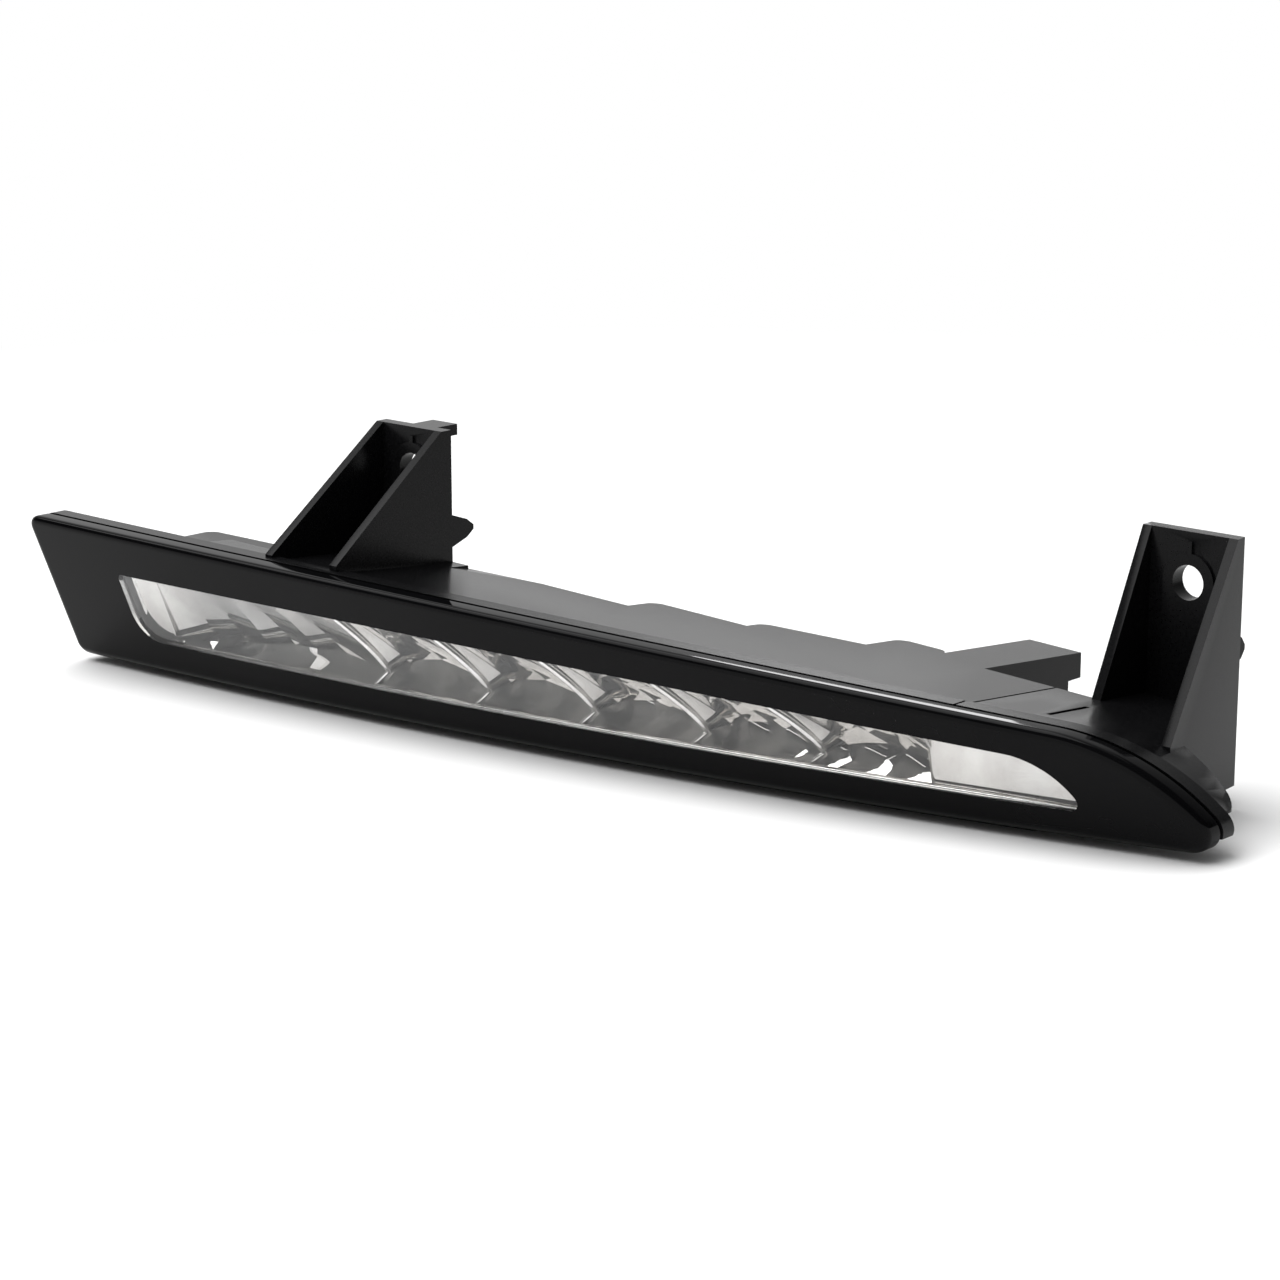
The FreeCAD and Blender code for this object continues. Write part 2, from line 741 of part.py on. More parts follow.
def bracket(side, foot_right_z):
    """Screw plate with two gussets and a flat land round its hole."""
    s = side + "_"
    back = s + "plate_back"
    face = "(%splate_back - plate_depth)" % s
    top = s + "plate_top"
    left, right = s + "gusset_left", s + "gusset_right"
    hole = (s + "hole_x", s + "hole_z")
    root = {"left": "cup_floor + floor_thickness", "right": "tail_rise"}[side]
    plate = box(s + "plate", (left, right), (face, back), (root, top))
    pieces = [plate]
    for label, low, high, foot in (
            ("left", left, left + " + gusset", s + "foot_left_y"),
            ("right", right + " - gusset", right, s + "foot_right_y")):
        level = foot_right_z[label]
        name = "%sgusset_%s" % (s, label)
        spread = "%ssplay * (%s - %s)" % (s, back, foot) if label == "right" else "0"
        corners = [(back, root), (foot, root), (foot, level), (face, top), (back, top)]
        profile = prism(name + "_profile", "YZ_Plane", corners,
                        low + " - gusset", high + " + gusset + " + spread)
        plan = [(low, back), (low + " + " + spread, foot), (high + " + " + spread, foot), (high, back)]
        pieces.append(common(name, [profile, prism(name + "_plan", "XY_Plane", plan, root, top)]))
    land_face = face + " - land_depth"
    pieces.append(cylinder(s + "land", "land_radius", land_face, face, hole[0], face, hole[1]))
    pieces.append(box(s + "land_leg", (hole[0] + " - land_radius", hole[0] + " + land_radius"),
                      (land_face, face), (root, hole[1])))
    half_rib = "land_rib_width / 2"
    pieces.append(box(s + "land_rib", (hole[0] + " - " + half_rib, hole[0] + " + " + half_rib),
                      (land_face, face), (hole[1] + " + land_radius / 2", top + " - land_rib_gap")))
    pieces += hooks(side, back, top, right)
    bore = cylinder(s + "bore", "hole_radius", land_face + " - plate_depth",
                    back + " + plate_depth", hole[0], face, hole[1])
    return pieces, bore


def hooks(side, back, top, right):
    """Arrow-shaped snap hook behind a screw plate, and on the left plate a stop tab."""
    level = "(%s - hook_drop)" % top
    reach = side + "_hook_reach"
    barb = [
        (back + " - plate_depth / 2", level + " - hook_base / 2"),
        (back, level + " - hook_base / 2"),
        (back + " + 0.75 * " + reach, level + " - hook_nose"),
        (back + " + " + reach, level + " - hook_nose / 4"),
        (back + " + " + reach, level + " + hook_nose / 4"),
        (back + " + 0.75 * " + reach, level + " + hook_nose"),
        (back, level + " + hook_base / 2"),
        (back + " - plate_depth / 2", level + " + hook_base / 2"),
    ]
    far = right + " - hook_inset"
    pieces = [prism(side + "_hook", "YZ_Plane", barb, far + " - hook_width", far)]
    if side == "left":
        edge = right + " - tab_inset"
        pieces.append(box("left_tab", (edge + " - tab_width", edge),
                          (back + " - plate_depth / 2", back + " + tab_reach"),
                          (top + " - tab_thickness", top)))
    return pieces


def hood_parts():
    """Connector hood behind the bay, with its socket and the slots of the two blades."""
    roof = blade("hood_roof_blade", ROOF, LENS_RADII, fall="roof_fall")
    across = ("hood_left", "hood_right")
    start = "hood_bay_back - wall"
    tube = box("hood_tube", across, (start, "hood_back"), ("hood_bottom", "slab_height"))
    brim_low = "roof_shoulder_z - roof_fall * hood_back - hood_brim_depth"
    brim = box("hood_brim_block", across, (start, "hood_back + hood_brim"), (brim_low, "slab_height"))
    hood = common("hood", [fuse("hood_mass", [tube, brim]), roof])
    socket = box("socket", ("hood_left + hood_wall", "hood_right - hood_wall"),
                 ("socket_floor_y", "hood_back + 2 * hood_brim"),
                 ("hood_bottom + hood_wall", "hood_roof - hood_wall"))
    return hood, socket


def contact_blades(name):
    """Two flat blades from the driver board into the socket."""
    blades = []
    middle = "(hood_left + hood_right) / 2"
    for index, side in enumerate(("-", "+"), start=1):
        x = "%s %s blade_pitch / 2" % (middle, side)
        blades.append(box("%s_%d" % (name, index), (x + " - blade_width / 2", x + " + blade_width / 2"),
                          ("driver_front + driver_thickness", "blade_back"),
                          ("blade_z - blade_thickness / 2", "blade_z + blade_thickness / 2")))
    return blades


def screw_places():
    """Formulas for the places of the two strip screws."""
    for x in ("ear_left_x", "ear_right_x"):
        yield x, face_y(x, "cup_floor") + " + screw_back"


STRIP_TOP = "(cup_floor - floor_thickness)"
BOARD_LOW = "(cup_floor - floor_thickness - board_thickness)"
SPREADER_LOW = "(cup_floor - floor_thickness - board_thickness - spreader_thickness)"


def housing_part():
    """Moulded shell with flange, brackets, hood, bosses and breather spigot."""
    front = "lens_skirt + seal_depth"
    outer = shell_space("shell_outer", "0", front)
    inner = shell_space("shell_inner", "wall", "lens_skin")
    ring = common("flange_ring", [
        blade("flange_blade", LENS, LENS_RADII), slab("flange_slab", front, front + " + flange_depth")])
    flange = cut("flange", ring, [
        tail_wedge("flange_tail", "flange_tail_start", "lens_bottom", "flange_tail_rise", "0")])
    left_level = "(roof_left - roof_fall * left_foot_right_y)"
    right_level = "(roof_shoulder_z - roof_fall * right_foot_left_y)"
    left_pieces, left_bore = bracket("left", {"left": left_level, "right": left_level})
    right_pieces, right_bore = bracket("right", {"left": right_level, "right": "right_foot_right_z"})
    brackets = common("brackets", [
        fuse("bracket_mass", left_pieces + right_pieces),
        slab("bracket_slab", front, "3 * blade_reach")])
    hood, socket = hood_parts()
    bosses = []
    screws = []
    for index, (x, y) in enumerate(screw_places(), start=1):
        bosses.append(cylinder("boss_%d" % index, "boss_radius", "wall / 2", SPREADER_LOW, x, y, "0", "z"))
        screws.append(cylinder("boss_%d_bore" % index, "screw_radius", SPREADER_LOW + " - screw_bite",
                               SPREADER_LOW + " + wall", x, y, "0", "z"))
    posts = []
    for index, x in enumerate(("driver_left", "driver_right - post_width"), start=1):
        middle = "driver_front + driver_thickness / 2"
        posts.append(box("post_%d" % index, (x, x + " + post_width"),
                         (middle + " - post_depth / 2", middle + " + post_depth / 2"),
                         ("wall / 2", "driver_bottom")))
    spigot = cylinder("vent_spigot", "vent_radius", "left_plate_back - wall / 2",
                      "left_plate_back + vent_length", "vent_x", "0", "vent_z")
    vent = cylinder("vent_passage", "vent_bore", "left_plate_back - 2 * wall",
                    "left_plate_back + 2 * vent_length", "vent_x", "0", "vent_z")
    groove_x = ("roof_groove_x - roof_groove_width / 2", "roof_groove_x + roof_groove_width / 2")
    groove = roof_channel("roof_groove", groove_x, ("-slab_reach", "slab_reach"), "roof_groove_depth")
    slot_x = ("roof_slot_x - roof_slot_width / 2", "roof_slot_x + roof_slot_width / 2")
    slot = roof_channel("roof_slot", slot_x, ("roof_slot_front", "roof_slot_back"), "roof_slot_depth")
    scored = cut("shell_scored", fuse("shell_mass", [outer, flange]), [groove, slot])
    shell = cut("shell", fuse("shell_and_brackets", [scored, brackets, hood, spigot]), [inner])
    whole = fuse("housing_mass", [shell] + bosses + posts)
    slots = contact_blades("blade_slot")
    return cut("housing", whole, [left_bore, right_bore, socket, vent] + screws + slots)


def roof_channel(name, across, along, depth):
    """Shallow channel of even depth in the roof."""
    strip = box(name + "_strip", across, along, ("0", "slab_height"))
    return cut(name, strip, [blade(name + "_floor", ROOF, LENS_RADII, "-(%s)" % depth, fall="roof_fall")])


def strip_layer(name, low, high):
    """Curved strip with two screw ears and their holes."""
    body = arc_strip(name + "_strip", "strip_left", "strip_right", "strip_front", "strip_back",
                     low, high, level="cup_floor")
    ears = []
    holes = []
    for index, (x, y) in enumerate(screw_places(), start=1):
        edge = face_y(x, "cup_floor")
        ears.append(box("%s_ear_%d" % (name, index), (x + " - ear_width / 2", x + " + ear_width / 2"),
                        (edge + " + strip_back - ear_width / 2", edge + " + ear_back"), (low, high)))
        holes.append(cylinder("%s_hole_%d" % (name, index), "screw_radius", low + " - wall",
                              high + " + wall", x, y, "0", "z"))
    return cut(name, fuse(name + "_plate", [body] + ears), holes)


def strip_parts():
    """Strip board, emitters, heat spreader and the two screws through them."""
    board = strip_layer("led_board", BOARD_LOW, STRIP_TOP)
    spreader = strip_layer("heat_spreader", SPREADER_LOW, BOARD_LOW)
    emitters = []
    for index, (left, right) in enumerate(cup_edges(), start=1):
        x = "(%s + %s) / 2" % (left, right)
        y = face_y(x, "cup_floor") + " + led_back"
        emitters.append(box("led_%d" % index, (x + " - led_size / 2", x + " + led_size / 2"),
                            (y + " - led_size / 2", y + " + led_size / 2"),
                            (STRIP_TOP, STRIP_TOP + " + led_height")))
    screws = []
    for index, (x, y) in enumerate(screw_places(), start=1):
        shank = cylinder("screw_%d_shank" % index, "screw_radius", SPREADER_LOW + " - screw_bite",
                         STRIP_TOP, x, y, "0", "z")
        head = cylinder("screw_%d_head" % index, "screw_head_radius", STRIP_TOP,
                        STRIP_TOP + " + screw_head_height", x, y, "0", "z")
        screws.append(fuse("screw_%d" % index, [shank, head]))
    return [board, spreader, group("leds", emitters), group("board_screws", screws)]


def on_driver(name, x, z, width, tall, height):
    """Flat component on the front of the driver board."""
    return box(name, (x + " - %s / 2" % width, x + " + %s / 2" % width),
               ("driver_front - " + height, "driver_front"),
               (z + " - %s / 2" % tall, z + " + %s / 2" % tall))


def driver_parts():
    """Driver board with its components, the link to the strip board and the blades."""
    board = box("driver_board", ("driver_left", "driver_right"),
                ("driver_front", "driver_front + driver_thickness"), ("driver_bottom", "driver_top"))
    coil = on_driver("driver_coil", "coil_x", "coil_z", "coil_size", "coil_size", "coil_height")
    chip = on_driver("driver_chip", "chip_x", "chip_z", "chip_width", "chip_tall", "chip_height")
    diode = on_driver("driver_diode", "diode_x", "diode_z", "diode_width", "diode_tall", "diode_height")
    caps = group("driver_capacitors", [
        cylinder("capacitor_%d" % index, "cap_radius", "driver_front - cap_height", "driver_front",
                 "cap_x + %d * cap_spacing" % index, "0", "cap_z") for index in range(2)])
    resistors = group("driver_resistors", [
        on_driver("resistor_%d" % index, "(resistor_x + %d * resistor_spacing)" % index, "resistor_z",
                  "resistor_width", "resistor_tall", "resistor_height")
        for index in range(int(value("resistor_count")))])
    header = box("link_block", ("link_left", "link_left + link_width"),
                 ("link_front", "link_front + link_depth"), (STRIP_TOP, STRIP_TOP + " + link_height"))
    pins = []
    for index, side in enumerate(("-", "+"), start=1):
        x = "link_left + link_width / 2 %s link_pitch / 2" % side
        z = STRIP_TOP + " + link_height / 2"
        pins.append(box("link_pin_%d" % index, (x + " - link_pin / 2", x + " + link_pin / 2"),
                        ("link_front + link_depth / 2", "driver_front"),
                        (z + " - link_pin / 2", z + " + link_pin / 2")))
    link_pins = group("link_pins", pins)
    link_header = cut("link_header", header, [link_pins])
    return [board, coil, chip, diode, caps, resistors, link_pins, link_header,
            group("contact_pins", contact_blades("contact"))]


def vent_parts():
    """Breather disc and the cap pushed over the spigot."""
    end = "left_plate_back + vent_length"
    disc = cylinder("vent_membrane", "vent_radius", end, end + " + vent_disc", "vent_x", "0", "vent_z")
    bore = "vent_radius + vent_cap_clearance"
    shell = cylinder("vent_cap_outer", bore + " + vent_cap_wall", "left_plate_back + vent_cap_end",
                     end + " + vent_disc + vent_cap_end", "vent_x", "0", "vent_z")
    hollow = cylinder("vent_cap_bore", bore, "left_plate_back", end + " + vent_disc",
                      "vent_x", "0", "vent_z")
    return [disc, cut("vent_cap", shell, [hollow])]


parts = lens_parts()
parts.append(reflector_part())
parts.append(housing_part())
parts += strip_parts()
parts += driver_parts()
parts += vent_parts()
doc.recompute()

for item in doc.Objects:
    if "Invalid" in item.State or "Error" in item.State:
        raise RuntimeError("%s failed: %s" % (item.Name, item.State))
for part in parts:
    part.Label = part.Name
    if part.Shape.isNull() or not part.Shape.isValid():
        raise RuntimeError("bad shape: " + part.Name)

os.makedirs("parts", exist_ok=True)
for part in parts:
    part.Shape.exportStep("parts/%s.step" % part.Label)
    bounds = part.Shape.BoundBox
    print("%-20s solids %d volume %.0f box %.1f..%.1f %.1f..%.1f %.1f..%.1f" % (
        part.Label, len(part.Shape.Solids), part.Shape.Volume,
        bounds.XMin, bounds.XMax, bounds.YMin, bounds.YMax, bounds.ZMin, bounds.ZMax))
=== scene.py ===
"""Looks of a slim LED front lamp: gloss lens, clear window, metallised cups, moulded housing.

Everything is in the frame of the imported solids. Sizes in the classes are in millimetres, or in
metres where a name ends in _m.
"""
import logging
import math
from dataclasses import dataclass
from enum import Enum
from typing import Any, Optional, Sequence

import bmesh
import bpy
import numpy as np
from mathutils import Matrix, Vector


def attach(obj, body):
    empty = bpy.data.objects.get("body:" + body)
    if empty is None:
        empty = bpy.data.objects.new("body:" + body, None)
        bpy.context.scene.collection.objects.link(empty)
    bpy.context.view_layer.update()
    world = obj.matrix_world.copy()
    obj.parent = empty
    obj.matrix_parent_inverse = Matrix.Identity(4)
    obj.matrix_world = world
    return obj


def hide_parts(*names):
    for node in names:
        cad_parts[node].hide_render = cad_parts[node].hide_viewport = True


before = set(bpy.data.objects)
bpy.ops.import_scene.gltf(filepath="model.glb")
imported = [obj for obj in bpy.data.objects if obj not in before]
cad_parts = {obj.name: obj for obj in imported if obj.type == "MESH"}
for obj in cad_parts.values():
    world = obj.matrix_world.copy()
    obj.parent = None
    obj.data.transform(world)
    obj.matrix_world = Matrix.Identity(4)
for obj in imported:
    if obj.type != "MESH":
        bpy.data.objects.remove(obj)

LOG = logging.getLogger("lamp")
MM = 0.001
BODY = "root"
# Points of a piece that lie closer than this become one.
WELD_MM = 0.0005
# An outline's corners keep this radius at least, however far it shrinks.
LEAST_CORNER_MM = 0.4
# Weight of the height where points tie for the left end.
TIE_BREAK = 1e-6
# Most of the noise lies between these values, so they stand for the two ends of a finish.
NOISE_SPAN = (0.35, 0.65)
NOISE_DETAIL = 4.0
NOISE_ROUGHNESS = 0.55
DUST_ROUGHNESS = 0.8
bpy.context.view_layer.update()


def linear(colour: str) -> tuple[float, float, float, float]:
    """Turns an sRGB hex colour to linear RGBA.

    Args:
        colour: Text such as "#202124".

    Returns:
        Linear red, green, blue and an alpha of one.
    """
    parts = [int(colour[start:start + 2], 16) / 255 for start in (1, 3, 5)]
    red, green, blue = (c / 12.92 if c <= 0.04045 else ((c + 0.055) / 1.055) ** 2.4 for c in parts)
    return red, green, blue, 1.0


def add_node(tree: bpy.types.NodeTree, kind: str, inputs: Optional[dict[Any, Any]] = None,
             **settings: Any) -> bpy.types.Node:
    """Adds a node with its settings, constants and links.

    Args:
        tree: Node tree that gets the node.
        kind: Blender's type name of the node.
        inputs: Input name or number to a constant, or to a socket that is linked there.
        settings: Properties of the node.

    Returns:
        The new node.
    """
    node = tree.nodes.new(kind)
    for name, setting in settings.items():
        setattr(node, name, setting)
    for key, given in (inputs or {}).items():
        if isinstance(given, bpy.types.NodeSocket):
            tree.links.new(given, node.inputs[key])
        else:
            node.inputs[key].default_value = given
    return node


@dataclass(frozen=True)
class Dust:
    """Loose specks on a surface, one to a cell at most."""

    cell_mm: float
    speck_mm: float
    share: float
    colour: str


@dataclass(frozen=True)
class Finish:
    """A surface finish: shader constants and the fine pattern that varies it.

    The pattern is a noise of the given grain. It runs between two colours and two
    roughnesses and lifts the surface by the relief.
    """

    name: str
    slot: str
    colours: tuple[str, str]
    grain_mm: float
    roughness: tuple[float, float]
    relief_mm: float = 0.0
    stretch: tuple[float, float, float] = (1.0, 1.0, 1.0)
    metallic: float = 0.0
    ior: float = 1.5
    specular: float = 0.5
    transmission: float = 0.0
    dust: Optional[Dust] = None

    def material(self) -> bpy.types.Material:
        """Returns the finish's material, made once and then shared."""
        known = bpy.data.materials.get(self.name)
        if known:
            return known
        material = bpy.data.materials.new(self.name)
        material.use_nodes = True
        tree = material.node_tree
        shader = tree.nodes["Principled BSDF"]
        shader.inputs["Metallic"].default_value = self.metallic
        shader.inputs["IOR"].default_value = self.ior
        shader.inputs["Specular IOR Level"].default_value = self.specular
        shader.inputs["Transmission Weight"].default_value = self.transmission
        colour, roughness, height = self.pattern(tree)
        if self.dust:
            colour, roughness = self.dusted(tree, self.dust, colour, roughness)
        tree.links.new(colour, shader.inputs["Base Color"])
        tree.links.new(roughness, shader.inputs["Roughness"])
        if self.relief_mm:
            bump = add_node(tree, "ShaderNodeBump", {
                "Height": height, "Distance": self.relief_mm * MM, "Strength": 1.0})
            tree.links.new(bump.outputs["Normal"], shader.inputs["Normal"])
        return material

    def pattern(self, tree: bpy.types.NodeTree) -> tuple[bpy.types.NodeSocket, ...]:
        """Adds the grain.

        Args:
            tree: Node tree of the material.

        Returns:
            Sockets of the colour, the roughness and the height.
        """
        place = add_node(tree, "ShaderNodeTexCoord").outputs["Object"]
        stretched = add_node(tree, "ShaderNodeMapping", {"Vector": place, "Scale": self.stretch})
        noise = add_node(tree, "ShaderNodeTexNoise", {
            "Vector": stretched.outputs["Vector"], "Scale": 1 / (self.grain_mm * MM),
            "Detail": NOISE_DETAIL, "Roughness": NOISE_ROUGHNESS}).outputs["Fac"]
        colour = add_node(tree, "ShaderNodeValToRGB", {"Fac": noise})
        ramp = colour.color_ramp.elements
        ramp[0].position, ramp[1].position = NOISE_SPAN
        ramp[0].color, ramp[1].color = (linear(text) for text in self.colours)
        rough = add_node(tree, "ShaderNodeMapRange", {
            "Value": noise, "From Min": NOISE_SPAN[0], "From Max": NOISE_SPAN[1],
            "To Min": self.roughness[0], "To Max": self.roughness[1]})
        return colour.outputs["Color"], rough.outputs["Result"], noise

    def dusted(self, tree: bpy.types.NodeTree, dust: Dust, colour: bpy.types.NodeSocket,
               roughness: bpy.types.NodeSocket) -> tuple[bpy.types.NodeSocket, ...]:
        """Lays specks over the colour and roughness.

        Args:
            tree: Node tree of the material.
            dust: Size, share and colour of the specks.
            colour: Socket of the clean colour.
            roughness: Socket of the clean roughness.

        Returns:
            Sockets of the dusted colour and roughness.
        """
        place = add_node(tree, "ShaderNodeTexCoord").outputs["Object"]
        cells = add_node(tree, "ShaderNodeTexVoronoi", {
            "Vector": place, "Scale": 1 / (dust.cell_mm * MM)})
        near = add_node(tree, "ShaderNodeMath", {
            0: cells.outputs["Distance"], 1: dust.speck_mm / dust.cell_mm}, operation="LESS_THAN")
        chosen = add_node(tree, "ShaderNodeMath", {
            0: cells.outputs["Color"], 1: dust.share}, operation="LESS_THAN")
        speck = add_node(tree, "ShaderNodeMath", {
            0: near.outputs[0], 1: chosen.outputs[0]}, operation="MULTIPLY").outputs[0]
        mixed = add_node(tree, "ShaderNodeMix", {0: speck, 6: colour, 7: linear(dust.colour)},
                         data_type="RGBA")
        rough = add_node(tree, "ShaderNodeMix", {0: speck, 2: roughness, 3: DUST_ROUGHNESS},
                         data_type="FLOAT")
        return mixed.outputs[2], rough.outputs[0]


# Polished black PMMA: deep black that mirrors its surroundings faintly, with a few dust specks.
LENS_BLACK = Finish(
    "polished_black_acrylic", "black_gloss", ("#060607", "#0a0a0b"),
    grain_mm=40.0, roughness=(0.03, 0.06), ior=1.49, specular=0.07,
    dust=Dust(cell_mm=9.0, speck_mm=0.16, share=0.3, colour="#7d7d7b"))
# Hard-coated clear PMMA: next to no colour of its own, a faint change of gloss over the window.
LENS_CLEAR = Finish(
    "hard_coated_clear_acrylic", "clear_window", ("#fbfcfd", "#ffffff"),
    grain_mm=30.0, roughness=(0.0, 0.012), ior=1.49, specular=0.05, transmission=1.0)
# Vacuum-metallised polycarbonate: clear mirror, slightly warm and unevenly bright.
MIRROR = Finish(
    "metallised_polycarbonate", "metallised", ("#c0bdb9", "#d4d2cf"),
    grain_mm=12.0, roughness=(0.0, 0.02), metallic=1.0)
# Radiused edges of the same coating: softer, so they catch light from all round as bright lines, and
# painted lighter than the mirror as a painted highlight.
MIRROR_EDGE_PAINTED_BRIGHT = Finish(
    "metallised_polycarbonate_edge_painted_highlight", "metallised", ("#dcdad6", "#efeeec"),
    grain_mm=4.0, roughness=(0.14, 0.22), metallic=1.0)
# Moulded black ABS: even satin black, its gloss varied very faintly, with a few dust specks.
HOUSING_BLACK = Finish(
    "moulded_black_abs", "black_moulding", ("#0a0a0b", "#101011"),
    grain_mm=0.8, roughness=(0.25, 0.265), ior=1.53, specular=0.1,
    dust=Dust(cell_mm=7.0, speck_mm=0.14, share=0.22, colour="#8c8c8a"))
# Extruded EPDM rubber: dull black with a fine chalky bloom.
RUBBER = Finish(
    "extruded_epdm", "seal_rubber", ("#121212", "#1c1c1b"),
    grain_mm=1.2, roughness=(0.6, 0.78), relief_mm=0.02)
# Solder mask over glass laminate: thin gloss, mottled at the 0.6 mm pitch of the weave below it.
MASK_WHITE = Finish(
    "white_solder_mask", "board_white", ("#dcdcd4", "#eeeee8"),
    grain_mm=0.6, roughness=(0.3, 0.42), relief_mm=0.006)
MASK_GREEN = Finish(
    "green_solder_mask", "board_green", ("#0d4a2a", "#145a35"),
    grain_mm=0.6, roughness=(0.26, 0.38), relief_mm=0.006)
# Rolled aluminium sheet: streaks along the strip from the rollers.
SHEET_ALUMINIUM = Finish(
    "rolled_aluminium", "spreader", ("#b4b7b9", "#c8cacb"),
    grain_mm=1.0, roughness=(0.25, 0.42), relief_mm=0.004, stretch=(0.05, 1.0, 1.0), metallic=1.0)
# Drawn aluminium can: fine bands from the drawing, one after another along Y.
DRAWN_ALUMINIUM = Finish(
    "drawn_aluminium_can", "capacitor_can", ("#a9abad", "#c3c5c7"),
    grain_mm=0.5, roughness=(0.22, 0.36), relief_mm=0.004, stretch=(0.2, 1.0, 0.2), metallic=1.0)
# Zinc-plated steel: bluish bright plate with faint clouds.
ZINC_STEEL = Finish(
    "zinc_plated_steel", "screw_steel", ("#9aa0a6", "#b9bdc1"),
    grain_mm=1.4, roughness=(0.22, 0.36), relief_mm=0.004, metallic=1.0)
# Tinned brass: grey-yellow plate with soft mottling.
TINNED_BRASS = Finish(
    "tinned_brass", "contact_metal", ("#b7ae93", "#cbc3aa"),
    grain_mm=0.9, roughness=(0.2, 0.34), relief_mm=0.003, metallic=1.0)
# Sintered ferrite: dark grey and granular.
FERRITE = Finish(
    "sintered_ferrite", "ferrite", ("#2a2a2b", "#38383a"),
    grain_mm=0.35, roughness=(0.55, 0.7), relief_mm=0.02)
# Moulded epoxy resin of the driver's parts: matt black with fine filler grain.
EPOXY = Finish(
    "moulded_epoxy", "chip_resin", ("#141414", "#202020"),
    grain_mm=0.25, roughness=(0.45, 0.6), relief_mm=0.008)
# Moulded nylon of the header: satin black.
NYLON = Finish(
    "moulded_nylon", "header_plastic", ("#151516", "#1d1d1f"),
    grain_mm=0.5, roughness=(0.4, 0.52), relief_mm=0.006)
# Phosphor-filled silicone of the emitters: opaque yellow with fine speckle.
PHOSPHOR = Finish(
    "phosphor_silicone", "emitter", ("#d8b13a", "#ecc957"),
    grain_mm=0.3, roughness=(0.3, 0.42), relief_mm=0.004)
# Expanded PTFE of the breather: soft white felt.
MEMBRANE = Finish(
    "expanded_ptfe", "membrane", ("#dededc", "#f2f2f0"),
    grain_mm=0.4, roughness=(0.7, 0.85), relief_mm=0.02)


class Wrap(Enum):
    """Which ways a grid closes on itself."""

    OPEN = (False, False)
    ROUND = (False, True)
    TORUS = (True, True)


def grid_faces(rows: int, columns: int, wrap: Wrap = Wrap.OPEN, first: int = 0) -> np.ndarray:
    """Quads of a grid of vertices stored row by row.

    Args:
        rows: Number of rows.
        columns: Number of vertices in a row.
        wrap: Whether the last row and the last column join the first.
        first: Index of the grid's first vertex.

    Returns:
        Four vertex indices for each quad. They face along row step cross column step.
    """
    down, along = wrap.value
    row, column = np.meshgrid(
        np.arange(rows if down else rows - 1), np.arange(columns if along else columns - 1),
        indexing="ij")
    below, right = (row + 1) % rows, (column + 1) % columns
    quads = np.stack([row * columns + column, below * columns + column,
                      below * columns + right, row * columns + right], axis=-1)
    return quads.reshape(-1, 4) + first


def join_grids(grids: Sequence[np.ndarray], wrap: Wrap = Wrap.OPEN) -> tuple[np.ndarray, np.ndarray]:
    """Joins grids of points into one list of vertices and one of quads.

    Args:
        grids: Arrays of rows by columns by three.
        wrap: How each grid closes on itself.

    Returns:
        Vertices and quads.
    """
    starts = np.cumsum([0] + [grid.shape[0] * grid.shape[1] for grid in grids])
    faces = [grid_faces(*grid.shape[:2], wrap, first) for grid, first in zip(grids, starts)]
    return np.concatenate([grid.reshape(-1, 3) for grid in grids]), np.concatenate(faces)


def make_piece(name: str, vertices: np.ndarray, faces: np.ndarray, finish: Finish,
               stands_for: Sequence[str], sharp_deg: float = 30.0) -> bpy.types.Object:
    """Makes a mesh piece that rides on the lamp and stands for solids.

    Args:
        name: Name of the piece.
        vertices: Places in millimetres, in the solids' frame.
        faces: Four vertex indices for each quad.
        finish: Finish of the whole piece.
        stands_for: Names of the solids that it replaces.
        sharp_deg: Edges that turn by more than this stay sharp.

    Returns:
        The piece's object.
    """
    mesh = bpy.data.meshes.new(name)
    mesh.from_pydata((vertices.reshape(-1, 3) * MM).tolist(), [], faces.tolist())
    work = bmesh.new()
    work.from_mesh(mesh)
    bmesh.ops.remove_doubles(work, verts=work.verts, dist=WELD_MM * MM)
    work.to_mesh(mesh)
    work.free()
    mesh.shade_smooth()
    mesh.set_sharp_from_angle(angle=math.radians(sharp_deg))
    mesh.materials.append(finish.material())
    piece = bpy.data.objects.new(name, mesh)
    bpy.context.scene.collection.objects.link(piece)
    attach(piece, BODY)
    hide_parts(*stands_for)
    return piece


@dataclass(frozen=True)
class FrontFace:
    """Front of the lens: an arc in plan that leans forward as it rises."""

    radius: float = 1264.0
    centre_x: float = -185.4
    centre_y: float = 1222.6
    rake: float = 0.404

    def y(self, x: np.ndarray, z: np.ndarray, depth: float | np.ndarray) -> np.ndarray:
        """Y of points at a depth behind the face.

        The plan arc is a circle, so y = centre - sqrt(radius^2 - (x - centre)^2), less the
        rake times the height.

        Args:
            x: Places along the lens.
            z: Heights.
            depth: Distance behind the face along Y.

        Returns:
            The Y places.
        """
        arc = np.sqrt(self.radius ** 2 - (x - self.centre_x) ** 2)
        return self.centre_y - arc - self.rake * z + depth


FACE = FrontFace()


def arc_points(centre: np.ndarray, start: np.ndarray, end: np.ndarray, count: int) -> np.ndarray:
    """Points on an anticlockwise arc from start towards end, without the end.

    Args:
        centre: Centre of the arc.
        start: First point.
        end: Point that the arc runs up to.
        count: Number of points.

    Returns:
        The points, one a row.
    """
    first, last = (math.atan2(*(spot - centre)[::-1]) for spot in (start, end))
    last += 2 * math.pi if last < first else 0.0
    turn = np.linspace(first, last, count, endpoint=False)
    reach = np.linalg.norm(start - centre)
    return centre + reach * np.stack([np.cos(turn), np.sin(turn)], axis=-1)


